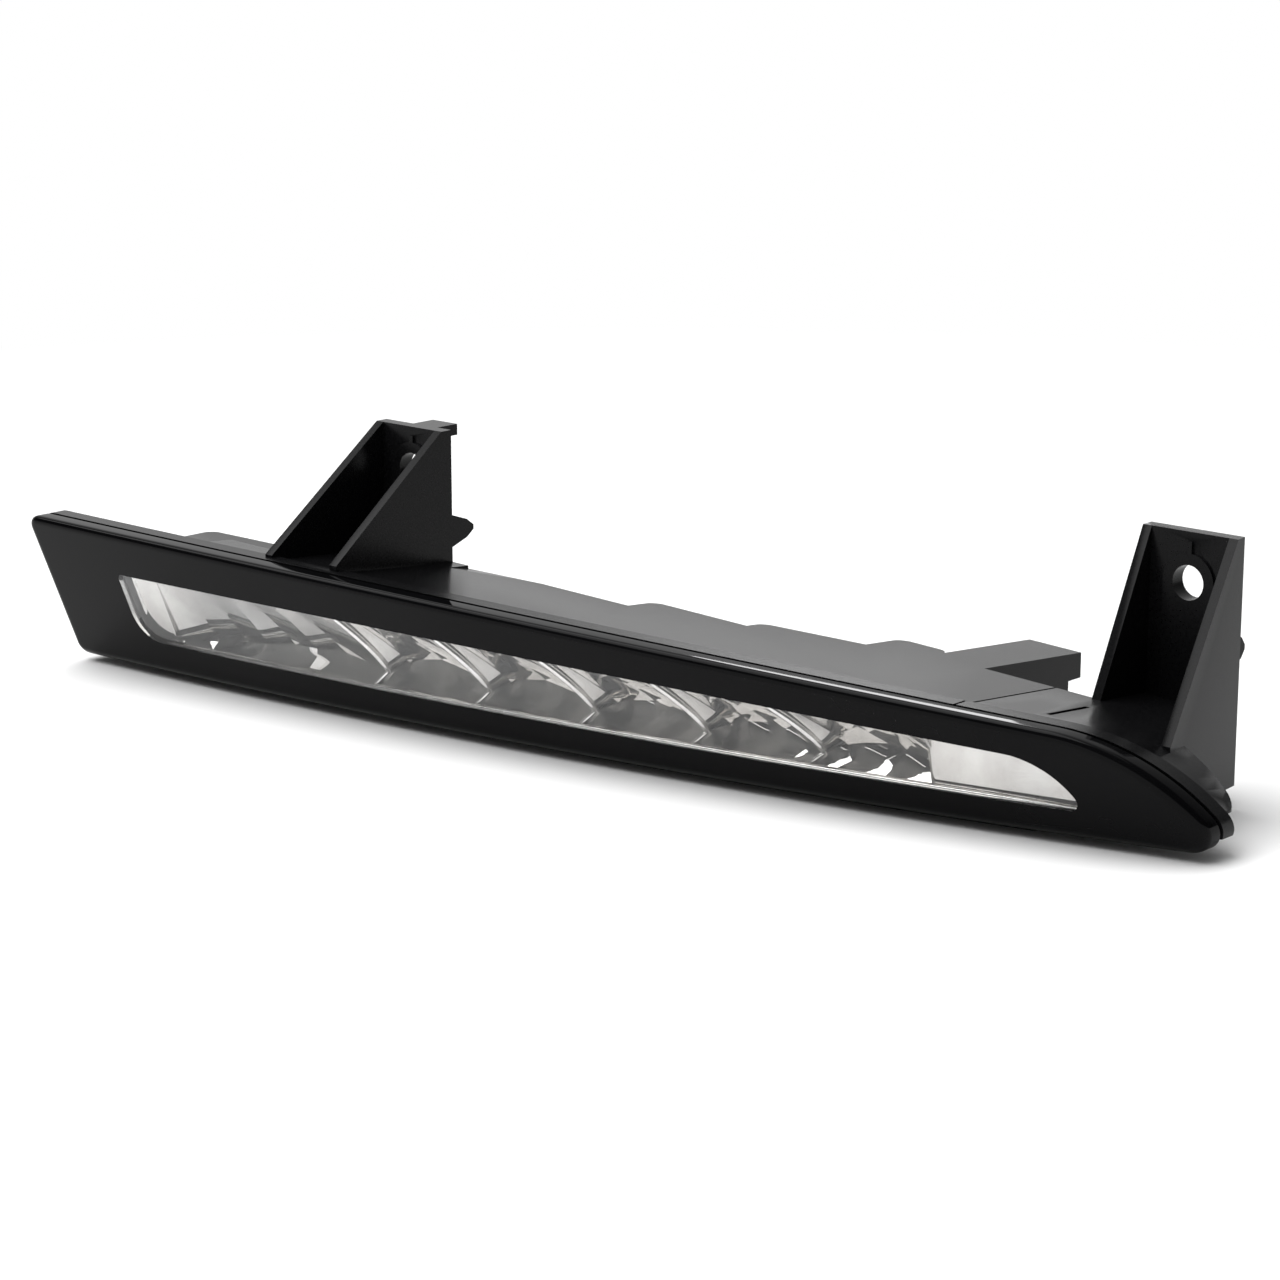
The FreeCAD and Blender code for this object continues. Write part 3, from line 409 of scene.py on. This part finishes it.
def line_points(start: np.ndarray, end: np.ndarray, count: int) -> np.ndarray:
    """Even points on a line from start towards end, without the end."""
    return start + (end - start) * np.linspace(0, 1, count, endpoint=False)[:, None]


@dataclass(frozen=True)
class RingPoints:
    """Number of points on each stretch of a blade outline, from the bottom anticlockwise."""

    bottom: int = 160
    tip: int = 16
    end: int = 36
    top: int = 160
    head: int = 12
    left: int = 18
    foot: int = 12


@dataclass(frozen=True)
class BladeOutline:
    """Outline seen from the front: straight bottom and left end, bowed top, round tip.

    The corners are the radii at the foot, the tip and the head. As the outline grows, the tip
    moves along by tip_spread for each step.
    """

    left: float
    bottom: float
    top: float
    shoulder: tuple[float, float]
    crown_radius: float
    tip: tuple[float, float]
    corners: tuple[float, float, float]
    tip_spread: float = 1.7
    points: RingPoints = RingPoints()

    def ring(self, grow: float = 0.0) -> np.ndarray:
        """Closed outline, anticlockwise from the left end of the bottom.

        Each corner is rounded by the circle that touches both of its sides. Rings of any
        growth have the same number of points on each side, so they match point by point.

        Args:
            grow: Distance that the outline is moved outward.

        Returns:
            X and Z of the points, one a row.
        """
        foot = np.array([self.left - grow, self.bottom - grow])
        tip = np.array([self.tip[0] + self.tip_spread * grow, self.tip[1] - grow])
        shoulder = np.array([self.shoulder[0], self.shoulder[1] + grow])
        head = np.array([self.left - grow, self.top + grow])
        half = (head - shoulder) / 2
        down = np.array([-half[1], half[0]]) / np.linalg.norm(half)
        crown = (head + shoulder) / 2 + down * math.sqrt(self.crown_radius ** 2 - half @ half)
        inward = (crown - shoulder) / self.crown_radius
        chord = tip - shoulder
        end_radius = chord @ chord / (2 * inward @ chord)
        end = shoulder + inward * end_radius
        low, sharp, high = (max(radius + grow, LEAST_CORNER_MM) for radius in self.corners)
        along = (tip - foot) / np.linalg.norm(tip - foot)
        up = np.array([-along[1], along[0]])
        offset = foot + sharp * up - end
        run = -offset @ along + math.sqrt(
            (offset @ along) ** 2 - offset @ offset + (end_radius - sharp) ** 2)
        tip_centre = foot + run * along + sharp * up
        head_x = head[0] + high
        head_centre = np.array([head_x, crown[1] + math.sqrt(
            (self.crown_radius - high) ** 2 - (head_x - crown[0]) ** 2)])
        foot_run = (low - low * up[0]) / along[0]
        foot_centre = foot + foot_run * along + low * up
        bottom_start, bottom_end = foot + foot_run * along, foot + run * along
        tip_end = end + (tip_centre - end) * end_radius / (end_radius - sharp)
        top_end = crown + (head_centre - crown) * self.crown_radius / (self.crown_radius - high)
        left_top = np.array([head[0], head_centre[1]])
        left_low = np.array([head[0], foot_centre[1]])
        return np.concatenate([
            line_points(bottom_start, bottom_end, self.points.bottom),
            arc_points(tip_centre, bottom_end, tip_end, self.points.tip),
            arc_points(end, tip_end, shoulder, self.points.end),
            arc_points(crown, shoulder, top_end, self.points.top),
            arc_points(head_centre, top_end, left_top, self.points.head),
            line_points(left_top, left_low, self.points.left),
            arc_points(foot_centre, left_low, bottom_start, self.points.foot)])

    def span(self, x: np.ndarray, grow: float = 0.0) -> tuple[np.ndarray, np.ndarray]:
        """Lowest and highest Z of the outline at places along it.

        Args:
            x: Places along the lens.
            grow: Distance that the outline is moved outward.

        Returns:
            The lower and the upper Z.
        """
        ring = self.ring(grow)
        # The left end is upright, so the lowest of its points is taken as the first.
        first = int(np.argmin(ring[:, 0] + TIE_BREAK * ring[:, 1]))
        ring = np.roll(ring, -first, axis=0)
        far = int(np.argmax(ring[:, 0]))
        upper = ring[far:][::-1]
        return (np.interp(x, ring[:far + 1, 0], ring[:far + 1, 1]),
                np.interp(x, upper[:, 0], upper[:, 1]))


LENS = BladeOutline(
    left=-148.5, bottom=1.8, top=38.7, shoulder=(119.6, 25.9), crown_radius=4100.0,
    tip=(151.8, 1.8), corners=(3.0, 5.0, 3.5))
WINDOW = BladeOutline(
    left=-121.4, bottom=10.2, top=27.2, shoulder=(109.6, 19.5), crown_radius=3900.0,
    tip=(124.4, 8.2), corners=(7.0, 2.0, 1.5))


@dataclass
class Lens:
    """Black frame with a rounded rim and a skirt, and the clear window flush in it."""

    skin: float = 2.2
    wall: float = 2.6
    skirt: float = 5.2
    rim: float = 2.0
    skirt_edge: float = 0.35
    face_shares: tuple[float, ...] = (0.0, 0.03, 0.2, 0.5, 0.8, 0.97)
    rim_steps: int = 10
    window_gap: float = 0.03
    window_columns: int = 260
    window_rows: int = 14

    def frame_rings(self) -> tuple[list[np.ndarray], list[float]]:
        """Rings of the frame's profile, from the window over the rim and back inside.

        The face runs straight from the window's outline to the rim. The rim is a quarter
        circle: at a turn t it lies rim (1 - sin t) inside and rim (1 - cos t) behind.

        Returns:
            The rings and their depths behind the face.
        """
        window, edge = WINDOW.ring(), LENS.ring(-self.rim)
        rings = [window + (edge - window) * share for share in self.face_shares]
        depths = [0.0] * len(rings)
        for turn in np.linspace(0, math.pi / 2, self.rim_steps):
            rings.append(LENS.ring(-self.rim * (1 - math.sin(turn))))
            depths.append(self.rim * (1 - math.cos(turn)))
        for inset, depth in ((0.0, self.skirt - self.skirt_edge), (self.skirt_edge, self.skirt),
                             (self.wall, self.skirt), (self.wall, self.skin)):
            rings.append(LENS.ring(-inset))
            depths.append(depth)
        rings.append(window)
        depths.append(self.skin)
        return rings, depths

    def build_frame(self) -> bpy.types.Object:
        """Makes the black frame as one closed band of rings."""
        rings, depths = self.frame_rings()
        flat = np.stack(rings)
        x, z = flat[..., 0], flat[..., 1]
        vertices = np.stack([x, FACE.y(x, z, np.array(depths)[:, None]), z], -1)
        faces = grid_faces(*x.shape, Wrap.TORUS)
        return make_piece("lens_frame_gloss", vertices, faces, LENS_BLACK, ["lens_frame"])

    def build_window(self) -> bpy.types.Object:
        """Makes the window as a closed tube of columns with a cap at each end.

        Columns crowd towards both ends as half of 1 - cos. In a column the points run up
        the front and down the back.
        """
        ring = WINDOW.ring(-self.window_gap)
        low_x, high_x = ring[:, 0].min(), ring[:, 0].max() - self.window_gap
        step = (1 - np.cos(np.linspace(0, math.pi, self.window_columns))) / 2
        x = low_x + (high_x - low_x) * step
        low, high = WINDOW.span(x, -self.window_gap)
        rise = np.linspace(0, 1, self.window_rows)
        loop = np.concatenate([rise, rise[::-1]])
        depth = np.repeat([0.0, self.skin], self.window_rows)
        z = low[:, None] + (high - low)[:, None] * loop
        x = np.broadcast_to(x[:, None], z.shape)
        vertices = np.stack([x, FACE.y(x, z, depth), z], -1)
        count = 2 * self.window_rows
        tube = grid_faces(self.window_columns, count, Wrap.ROUND)
        first = np.arange(self.window_rows - 1)
        cap = np.stack([first, first + 1, count - 2 - first, count - 1 - first], -1)
        last = cap[:, ::-1] + (self.window_columns - 1) * count
        faces = np.concatenate([tube, cap, last])
        return make_piece("lens_window_clear", vertices, faces, LENS_CLEAR, ["lens_window"])


@dataclass
class Reflector:
    """Metallised moulding: plain wings, shallow bowls in two tiers, round ribs and a front lip.

    Depths are behind the face of the lens. Creases and margin are shares of the window's height.
    The knots of the long bowl are place from its left end, depth and crease.
    """

    ends: tuple[float, float] = (-112.2, 91.2)
    ribs: tuple[float, ...] = (-47.2, -18.7, 9.2, 37.2, 64.8)
    front: float = 3.4
    plate: float = 3.6
    rib_depth: float = 7.0
    bowl_depth: float = 10.0
    rib_crease: float = 0.24
    bowl_crease: float = 0.5
    long_bowl: tuple[tuple[float, float, float], ...] = (
        (0.0, 4.4, 0.06), (11.0, 7.4, 0.12), (20.0, 8.1, 0.2), (28.0, 7.2, 0.26), (36.0, 8.3, 0.32),
        (44.0, 7.3, 0.35), (52.0, 8.2, 0.36), (65.0, 7.0, 0.24))
    strips: int = 6
    zigzag: float = 0.8
    lean_top: float = 7.6
    lean_power: float = 1.7
    lean_low: float = 3.3
    lean_runs: tuple[float, float] = (50.0, 20.0)
    margin: float = 0.07
    wing_rakes: tuple[float, float] = (0.404, 0.2)
    wing_reach: tuple[float, float] = (1.5, 1.0)
    tip_inset: float = 1.5
    overlap: float = 0.8
    bar: float = 0.7
    bar_lift: float = 0.45
    bar_taper: int = 12
    lip_insets: tuple[float, float] = (6.0, 1.2)
    lip_lift: float = 0.6
    wall: float = 1.0
    sharp_deg: float = 5.0
    fine: int = 6
    upper_rows: int = 20
    lower_rows: int = 8
    wing_rows: int = 12
    wing_columns: int = 40
    lip_columns: int = 160
    bar_points: int = 14

    def stations(self) -> np.ndarray:
        """Columns of the bowls from left to right.

        Across a bowl the depth and the height of the crease follow parabolas, 1 - s^2 between
        the ribs' and the bowl's own, cut into straight strips whose every other edge lies deeper
        by the zigzag. The first bowl is longer and has its own knots.

        Returns:
            Three rows: place along the lens, depth of the crease and its share of the height.
        """
        parts = [np.array(self.long_bowl) + (self.ends[0], 0.0, 0.0)]
        share = np.linspace(-1, 1, self.strips + 1)[1:]
        bow = 1 - share ** 2
        fold = self.zigzag * (np.arange(self.strips) % 2 == 0)
        for left, right in zip(self.ribs, self.ribs[1:] + self.ends[1:]):
            parts.append(np.stack([
                (left + right) / 2 + share * (right - left) / 2,
                self.rib_depth + (self.bowl_depth - self.rib_depth) * bow + fold,
                self.rib_crease + (self.bowl_crease - self.rib_crease) * bow], -1))
        knots = np.concatenate(parts)
        steps = np.arange((len(knots) - 1) * self.fine + 1) / self.fine
        return np.stack([np.interp(steps, np.arange(len(knots)), column) for column in knots.T])

    def bowls(self, place: np.ndarray, depth: np.ndarray, crease: np.ndarray) -> np.ndarray:
        """Grid of the bowls from the window's top down to the lip.

        The upper tier runs from the plate back to the crease and the lower tier from there
        forward to the lip, both straight. With the height h as a share of the window, columns
        lean left by lean_top ((h - rib) / (1 - rib))^power above the rib's crease and evenly
        below it, and less towards both ends.

        Args:
            place: Places along the lens at the crease.
            depth: Depths of the crease behind the face.
            crease: Heights of the crease as shares of the window's height.

        Returns:
            Grid of points.
        """
        down = np.linspace(0, 1, self.upper_rows, endpoint=False)[:, None]
        on = np.linspace(0, 1, self.lower_rows + 1)[:, None]
        top, bottom = 1 + self.margin, -self.margin
        share = np.concatenate([top + (crease - top) * down, crease + (bottom - crease) * on])
        upper = self.plate + (depth - self.plate) * down
        lower = depth + (self.front - depth) * on
        deep = np.concatenate([upper, lower])
        above = np.maximum(share - self.rib_crease, 0.0) / (1 - self.rib_crease)
        below = np.maximum(self.rib_crease - share, 0.0) / self.rib_crease
        lean = self.lean_top * above ** self.lean_power + self.lean_low * below
        weight = (np.clip((place - self.ends[0]) / self.lean_runs[0], 0, 1)
                  * np.clip((self.ends[1] - place) / self.lean_runs[1], 0, 1))
        low, high = WINDOW.span(place)
        x, z = place - weight * lean, low + (high - low) * share
        return np.stack([x, FACE.y(x, z, deep), z], -1)

    def wing(self, start: float, end: float, rake: float) -> np.ndarray:
        """Plate behind the window between two places along it, curved in plan as the face is.

        It reaches past the window's top and bottom by twice the margin.

        Args:
            start: Left end.
            end: Right end.
            rake: How far it leans forward for each step up.

        Returns:
            Grid of points.
        """
        x = np.linspace(start, end, self.wing_columns)
        low, high = WINDOW.span(np.clip(x, WINDOW.left, WINDOW.tip[0] - self.tip_inset))
        share = np.linspace(1 + 2 * self.margin, -2 * self.margin, self.wing_rows)[:, None]
        z = low + (high - low) * share
        x = np.broadcast_to(x, z.shape)
        lean = (FACE.rake - rake) * (z - WINDOW.bottom)
        return np.stack([x, FACE.y(x, z, self.plate + lean), z], -1)

    def tube(self, path: np.ndarray, side: np.ndarray) -> np.ndarray:
        """Round bar along a path: circles about it that shrink to a point at both ends.

        The radius is bar times the root of bar_taper s, which is one at most, where s is the share
        of the path from the nearer end.

        Args:
            path: Points of the path, one a row.
            side: Direction across the path in which the circles start.

        Returns:
            Grid of points, one circle a row.
        """
        run = np.gradient(path, axis=0)
        run = run / np.linalg.norm(run, axis=1, keepdims=True)
        other = np.cross(side, run)
        other = other / np.linalg.norm(other, axis=1, keepdims=True)
        across = np.cross(run, other)
        share = np.linspace(0, 1, len(path))
        swell = np.minimum(1.0, self.bar_taper * np.minimum(share, 1 - share))
        radius = self.bar * np.sqrt(swell)[:, None, None]
        turn = np.linspace(0, 2 * math.pi, self.bar_points, endpoint=False)[None, :, None]
        circle = np.cos(turn) * across[:, None] + np.sin(turn) * other[:, None]
        return path[:, None] + radius * circle

    def bars(self) -> list[np.ndarray]:
        """Grids of the ribs between the bowls and of the lip along the window's bottom."""
        ribs = np.array(self.ribs)
        depths = np.full_like(ribs, self.rib_depth)
        creases = np.full_like(ribs, self.rib_crease)
        paths = self.bowls(ribs, depths, creases)
        paths[..., 1] -= self.bar_lift
        along, up = np.array([1.0, 0.0, 0.0]), np.array([0.0, 0.0, 1.0])
        tubes = [self.tube(paths[:, index], along) for index in range(len(ribs))]
        start, end = WINDOW.left + self.lip_insets[0], WINDOW.tip[0] - self.lip_insets[1]
        x = np.linspace(start, end, self.lip_columns)
        z = WINDOW.span(x)[0] + self.bar * self.lip_lift
        lip = np.stack([x, FACE.y(x, z, self.plate - self.bar), z], -1)
        return tubes + [self.tube(lip, up)]

    def build(self) -> tuple[bpy.types.Object, bpy.types.Object]:
        """Makes the mirror sheet with a wall behind it, and the bars on it."""
        start, end = WINDOW.left - self.wing_reach[0], WINDOW.tip[0] + self.wing_reach[1]
        grids = [self.bowls(*self.stations()),
                 self.wing(start, self.ends[0] + self.overlap, self.wing_rakes[0]),
                 self.wing(self.ends[1] - self.overlap, end, self.wing_rakes[1])]
        sheet = make_piece(
            "reflector_metallised", *join_grids(grids), MIRROR, ["reflector"], self.sharp_deg)
        thick = sheet.modifiers.new("wall", "SOLIDIFY")
        thick.thickness = self.wall * MM
        thick.offset = -1.0
        # The bars' colour is lighter than the mirror's: a painted highlight on the same coating.
        bars = make_piece(
            "reflector_bars", *join_grids(self.bars(), Wrap.ROUND), MIRROR_EDGE_PAINTED_BRIGHT, ["reflector"])
        return sheet, bars


@dataclass
class Housing:
    """Moulded shell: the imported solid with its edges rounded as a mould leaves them."""

    edge: float = 0.45
    segments: int = 2
    least_angle_deg: float = 28.0
    weld: float = 0.002
    flat_deg: float = 0.6

    def build(self) -> bpy.types.Object:
        """Copies the solid, merges points within the weld and flat triangles, rounds its edges."""
        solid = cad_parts["housing"]
        mesh = bpy.data.meshes.new("housing_moulded")
        work = bmesh.new()
        work.from_mesh(solid.data)
        bmesh.ops.remove_doubles(work, verts=work.verts, dist=self.weld * MM)
        bmesh.ops.dissolve_limit(
            work, angle_limit=math.radians(self.flat_deg), verts=work.verts, edges=work.edges)
        work.to_mesh(mesh)
        work.free()
        mesh.shade_smooth()
        mesh.set_sharp_from_angle(angle=math.radians(self.least_angle_deg))
        mesh.materials.append(HOUSING_BLACK.material())
        piece = bpy.data.objects.new("housing_moulded", mesh)
        bpy.context.scene.collection.objects.link(piece)
        bevel = piece.modifiers.new("mould_edges", "BEVEL")
        bevel.width = self.edge * MM
        bevel.segments = self.segments
        bevel.limit_method = "ANGLE"
        bevel.angle_limit = math.radians(self.least_angle_deg)
        bevel.harden_normals = True
        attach(piece, BODY)
        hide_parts("housing")
        return piece


@dataclass(frozen=True)
class Inside:
    """Solids whose shape is right as packed, with the finish that each one gets."""

    finishes: tuple[tuple[str, Finish], ...] = (
        ("lens_seal", RUBBER), ("led_board", MASK_WHITE), ("heat_spreader", SHEET_ALUMINIUM),
        ("leds", PHOSPHOR), ("board_screws", ZINC_STEEL), ("driver_board", MASK_GREEN),
        ("driver_coil", FERRITE), ("driver_chip", EPOXY), ("driver_diode", EPOXY),
        ("driver_capacitors", DRAWN_ALUMINIUM), ("driver_resistors", EPOXY),
        ("link_pins", TINNED_BRASS), ("link_header", NYLON), ("contact_pins", TINNED_BRASS),
        ("vent_membrane", MEMBRANE), ("vent_cap", RUBBER))

    def dress(self) -> None:
        """Gives each solid its finish."""
        for node, finish in self.finishes:
            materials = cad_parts[node].data.materials
            materials.clear()
            materials.append(finish.material())
            LOG.info("dressed %s as %s", node, finish.name)


@dataclass(frozen=True)
class Panel:
    """Square soft light that faces the lamp."""

    name: str
    place_m: tuple[float, float, float]
    side_m: float
    power_w: float

    def hang(self) -> None:
        """Adds the panel to the scene."""
        light = bpy.data.lights.new(self.name, "AREA")
        light.size = self.side_m
        light.energy = self.power_w
        holder = bpy.data.objects.new(self.name, light)
        holder.location = self.place_m
        holder.rotation_euler = (-Vector(self.place_m)).to_track_quat("-Z", "Y").to_euler()
        bpy.context.scene.collection.objects.link(holder)


@dataclass
class Studio:
    """White ground, soft light and the camera of the photograph.

    The shadow fades out between the two distances of shadow_m. The backdrop fades in between the
    two values of backdrop: the dot product of a direction with the level part of the look.
    """

    camera_mm: tuple[float, float, float] = (494.1, -549.7, 206.3)
    look: tuple[float, float, float] = (-0.6493, 0.7211, -0.2419)
    lens_mm: float = 95.6
    sensor_mm: float = 36.0
    sight_m: float = 50.0
    ground_m: float = 12.0
    ground: str = "#f4f4f4"
    white: str = "#ffffff"
    shadow_m: tuple[float, float] = (0.2, 0.6)
    backdrop: tuple[float, float] = (0.15, 0.7)
    room_level: float = 0.03
    fill_level: float = 0.25
    panels: tuple[Panel, ...] = (
        Panel("overhead_panel", place_m=(-0.1, 0.1, 1.4), side_m=1.6, power_w=7.0),
        Panel("crest_panel", place_m=(-0.76, 1.1, 0.75), side_m=0.24, power_w=1.6),
        Panel("front_panel", place_m=(-0.45, -0.5, 1.5), side_m=1.7, power_w=38.0))

    def build(self) -> None:
        """Makes the ground, the sky, the panels and the camera."""
        self.build_ground()
        self.build_sky()
        for panel in self.panels:
            panel.hang()
        self.build_camera()

    def build_camera(self) -> None:
        """Places the camera and keeps the colours as the materials give them."""
        camera = bpy.data.cameras.new("photo_camera")
        camera.sensor_width = self.sensor_mm
        camera.lens = self.lens_mm
        camera.clip_end = self.sight_m
        holder = bpy.data.objects.new("photo_camera", camera)
        holder.location = Vector(self.camera_mm) * MM
        holder.rotation_euler = Vector(self.look).to_track_quat("-Z", "Y").to_euler()
        bpy.context.scene.collection.objects.link(holder)
        bpy.context.scene.camera = holder
        bpy.context.scene.view_settings.view_transform = "Standard"

    def seen(self, tree: bpy.types.NodeTree) -> bpy.types.NodeSocket:
        """Adds a value that is one where the camera, metal or glass looks on, else nought.

        Args:
            tree: Node tree that gets the value.

        Returns:
            Its socket.
        """
        path = add_node(tree, "ShaderNodeLightPath")
        either = add_node(tree, "ShaderNodeMath", {
            0: path.outputs["Is Camera Ray"], 1: path.outputs["Is Glossy Ray"]}, operation="MAXIMUM")
        seen = add_node(tree, "ShaderNodeMath", {
            0: either.outputs[0], 1: path.outputs["Is Transmission Ray"]}, operation="MAXIMUM")
        return seen.outputs[0]

    def build_ground(self) -> None:
        """Makes a pale floor that keeps the shadow near the lamp and is white further off."""
        half = self.ground_m / 2
        corners = np.array([(-half, -half, 0), (half, -half, 0), (half, half, 0), (-half, half, 0)])
        mesh = bpy.data.meshes.new("ground")
        mesh.from_pydata(corners.tolist(), [], [(0, 1, 2, 3)])
        material = bpy.data.materials.new("white_paper_ground")
        material.use_nodes = True
        tree = material.node_tree
        tree.nodes.remove(tree.nodes["Principled BSDF"])
        paper = add_node(tree, "ShaderNodeBsdfDiffuse", {"Color": linear(self.ground)})
        white = add_node(tree, "ShaderNodeEmission", {"Color": linear(self.white), "Strength": 1.0})
        place = add_node(tree, "ShaderNodeTexCoord").outputs["Object"]
        away = add_node(tree, "ShaderNodeVectorMath", {0: place}, operation="LENGTH")
        far = add_node(tree, "ShaderNodeMapRange", {
            "Value": away.outputs["Value"],
            "From Min": self.shadow_m[0], "From Max": self.shadow_m[1]})
        share = add_node(tree, "ShaderNodeMath", {
            0: self.seen(tree), 1: far.outputs["Result"]}, operation="MULTIPLY")
        mixed = add_node(tree, "ShaderNodeMixShader", {
            0: share.outputs[0], 1: paper.outputs[0], 2: white.outputs[0]})
        tree.links.new(mixed.outputs[0], tree.nodes["Material Output"].inputs["Surface"])
        mesh.materials.append(material)
        ground = bpy.data.objects.new("ground", mesh)
        bpy.context.scene.collection.objects.link(ground)

    def build_sky(self) -> None:
        """Makes a sky that is white to the camera, and otherwise a white backdrop and a dim room.

        The backdrop is behind the lamp and the dim room is on the camera's side. Matt surfaces
        get an even fill instead, so the shadow on the ground comes from the panels.
        """
        world = bpy.data.worlds.new("studio_sky")
        world.use_nodes = True
        bpy.context.scene.world = world
        tree = world.node_tree
        path = add_node(tree, "ShaderNodeLightPath")
        place = add_node(tree, "ShaderNodeTexCoord").outputs["Generated"]
        away = add_node(tree, "ShaderNodeVectorMath", {
            0: place, 1: (self.look[0], self.look[1], 0.0)}, operation="DOT_PRODUCT")
        side = add_node(tree, "ShaderNodeMapRange", {
            "Value": away.outputs["Value"],
            "From Min": self.backdrop[0], "From Max": self.backdrop[1],
            "To Min": self.room_level, "To Max": 1.0})
        level = add_node(tree, "ShaderNodeMix", {
            0: path.outputs["Is Camera Ray"], 2: side.outputs["Result"], 3: 1.0}, data_type="FLOAT")
        level = add_node(tree, "ShaderNodeMix", {
            0: self.seen(tree), 2: self.fill_level, 3: level.outputs[0]}, data_type="FLOAT")
        tree.links.new(level.outputs[0], tree.nodes["Background"].inputs["Strength"])
        tree.nodes["Background"].inputs["Color"].default_value = linear(self.white)


def main() -> None:
    """Builds the lamp's pieces and logs their faces, dresses the inside, then builds the studio."""
    logging.basicConfig(level=logging.INFO, format="%(name)s: %(message)s")
    lens = Lens()
    pieces = (lens.build_frame(), lens.build_window(), *Reflector().build(), Housing().build())
    for piece in pieces:
        LOG.info("made %s with %d faces", piece.name, len(piece.data.polygons))
    Inside().dress()
    Studio().build()


if __name__ == "__main__":
    main()
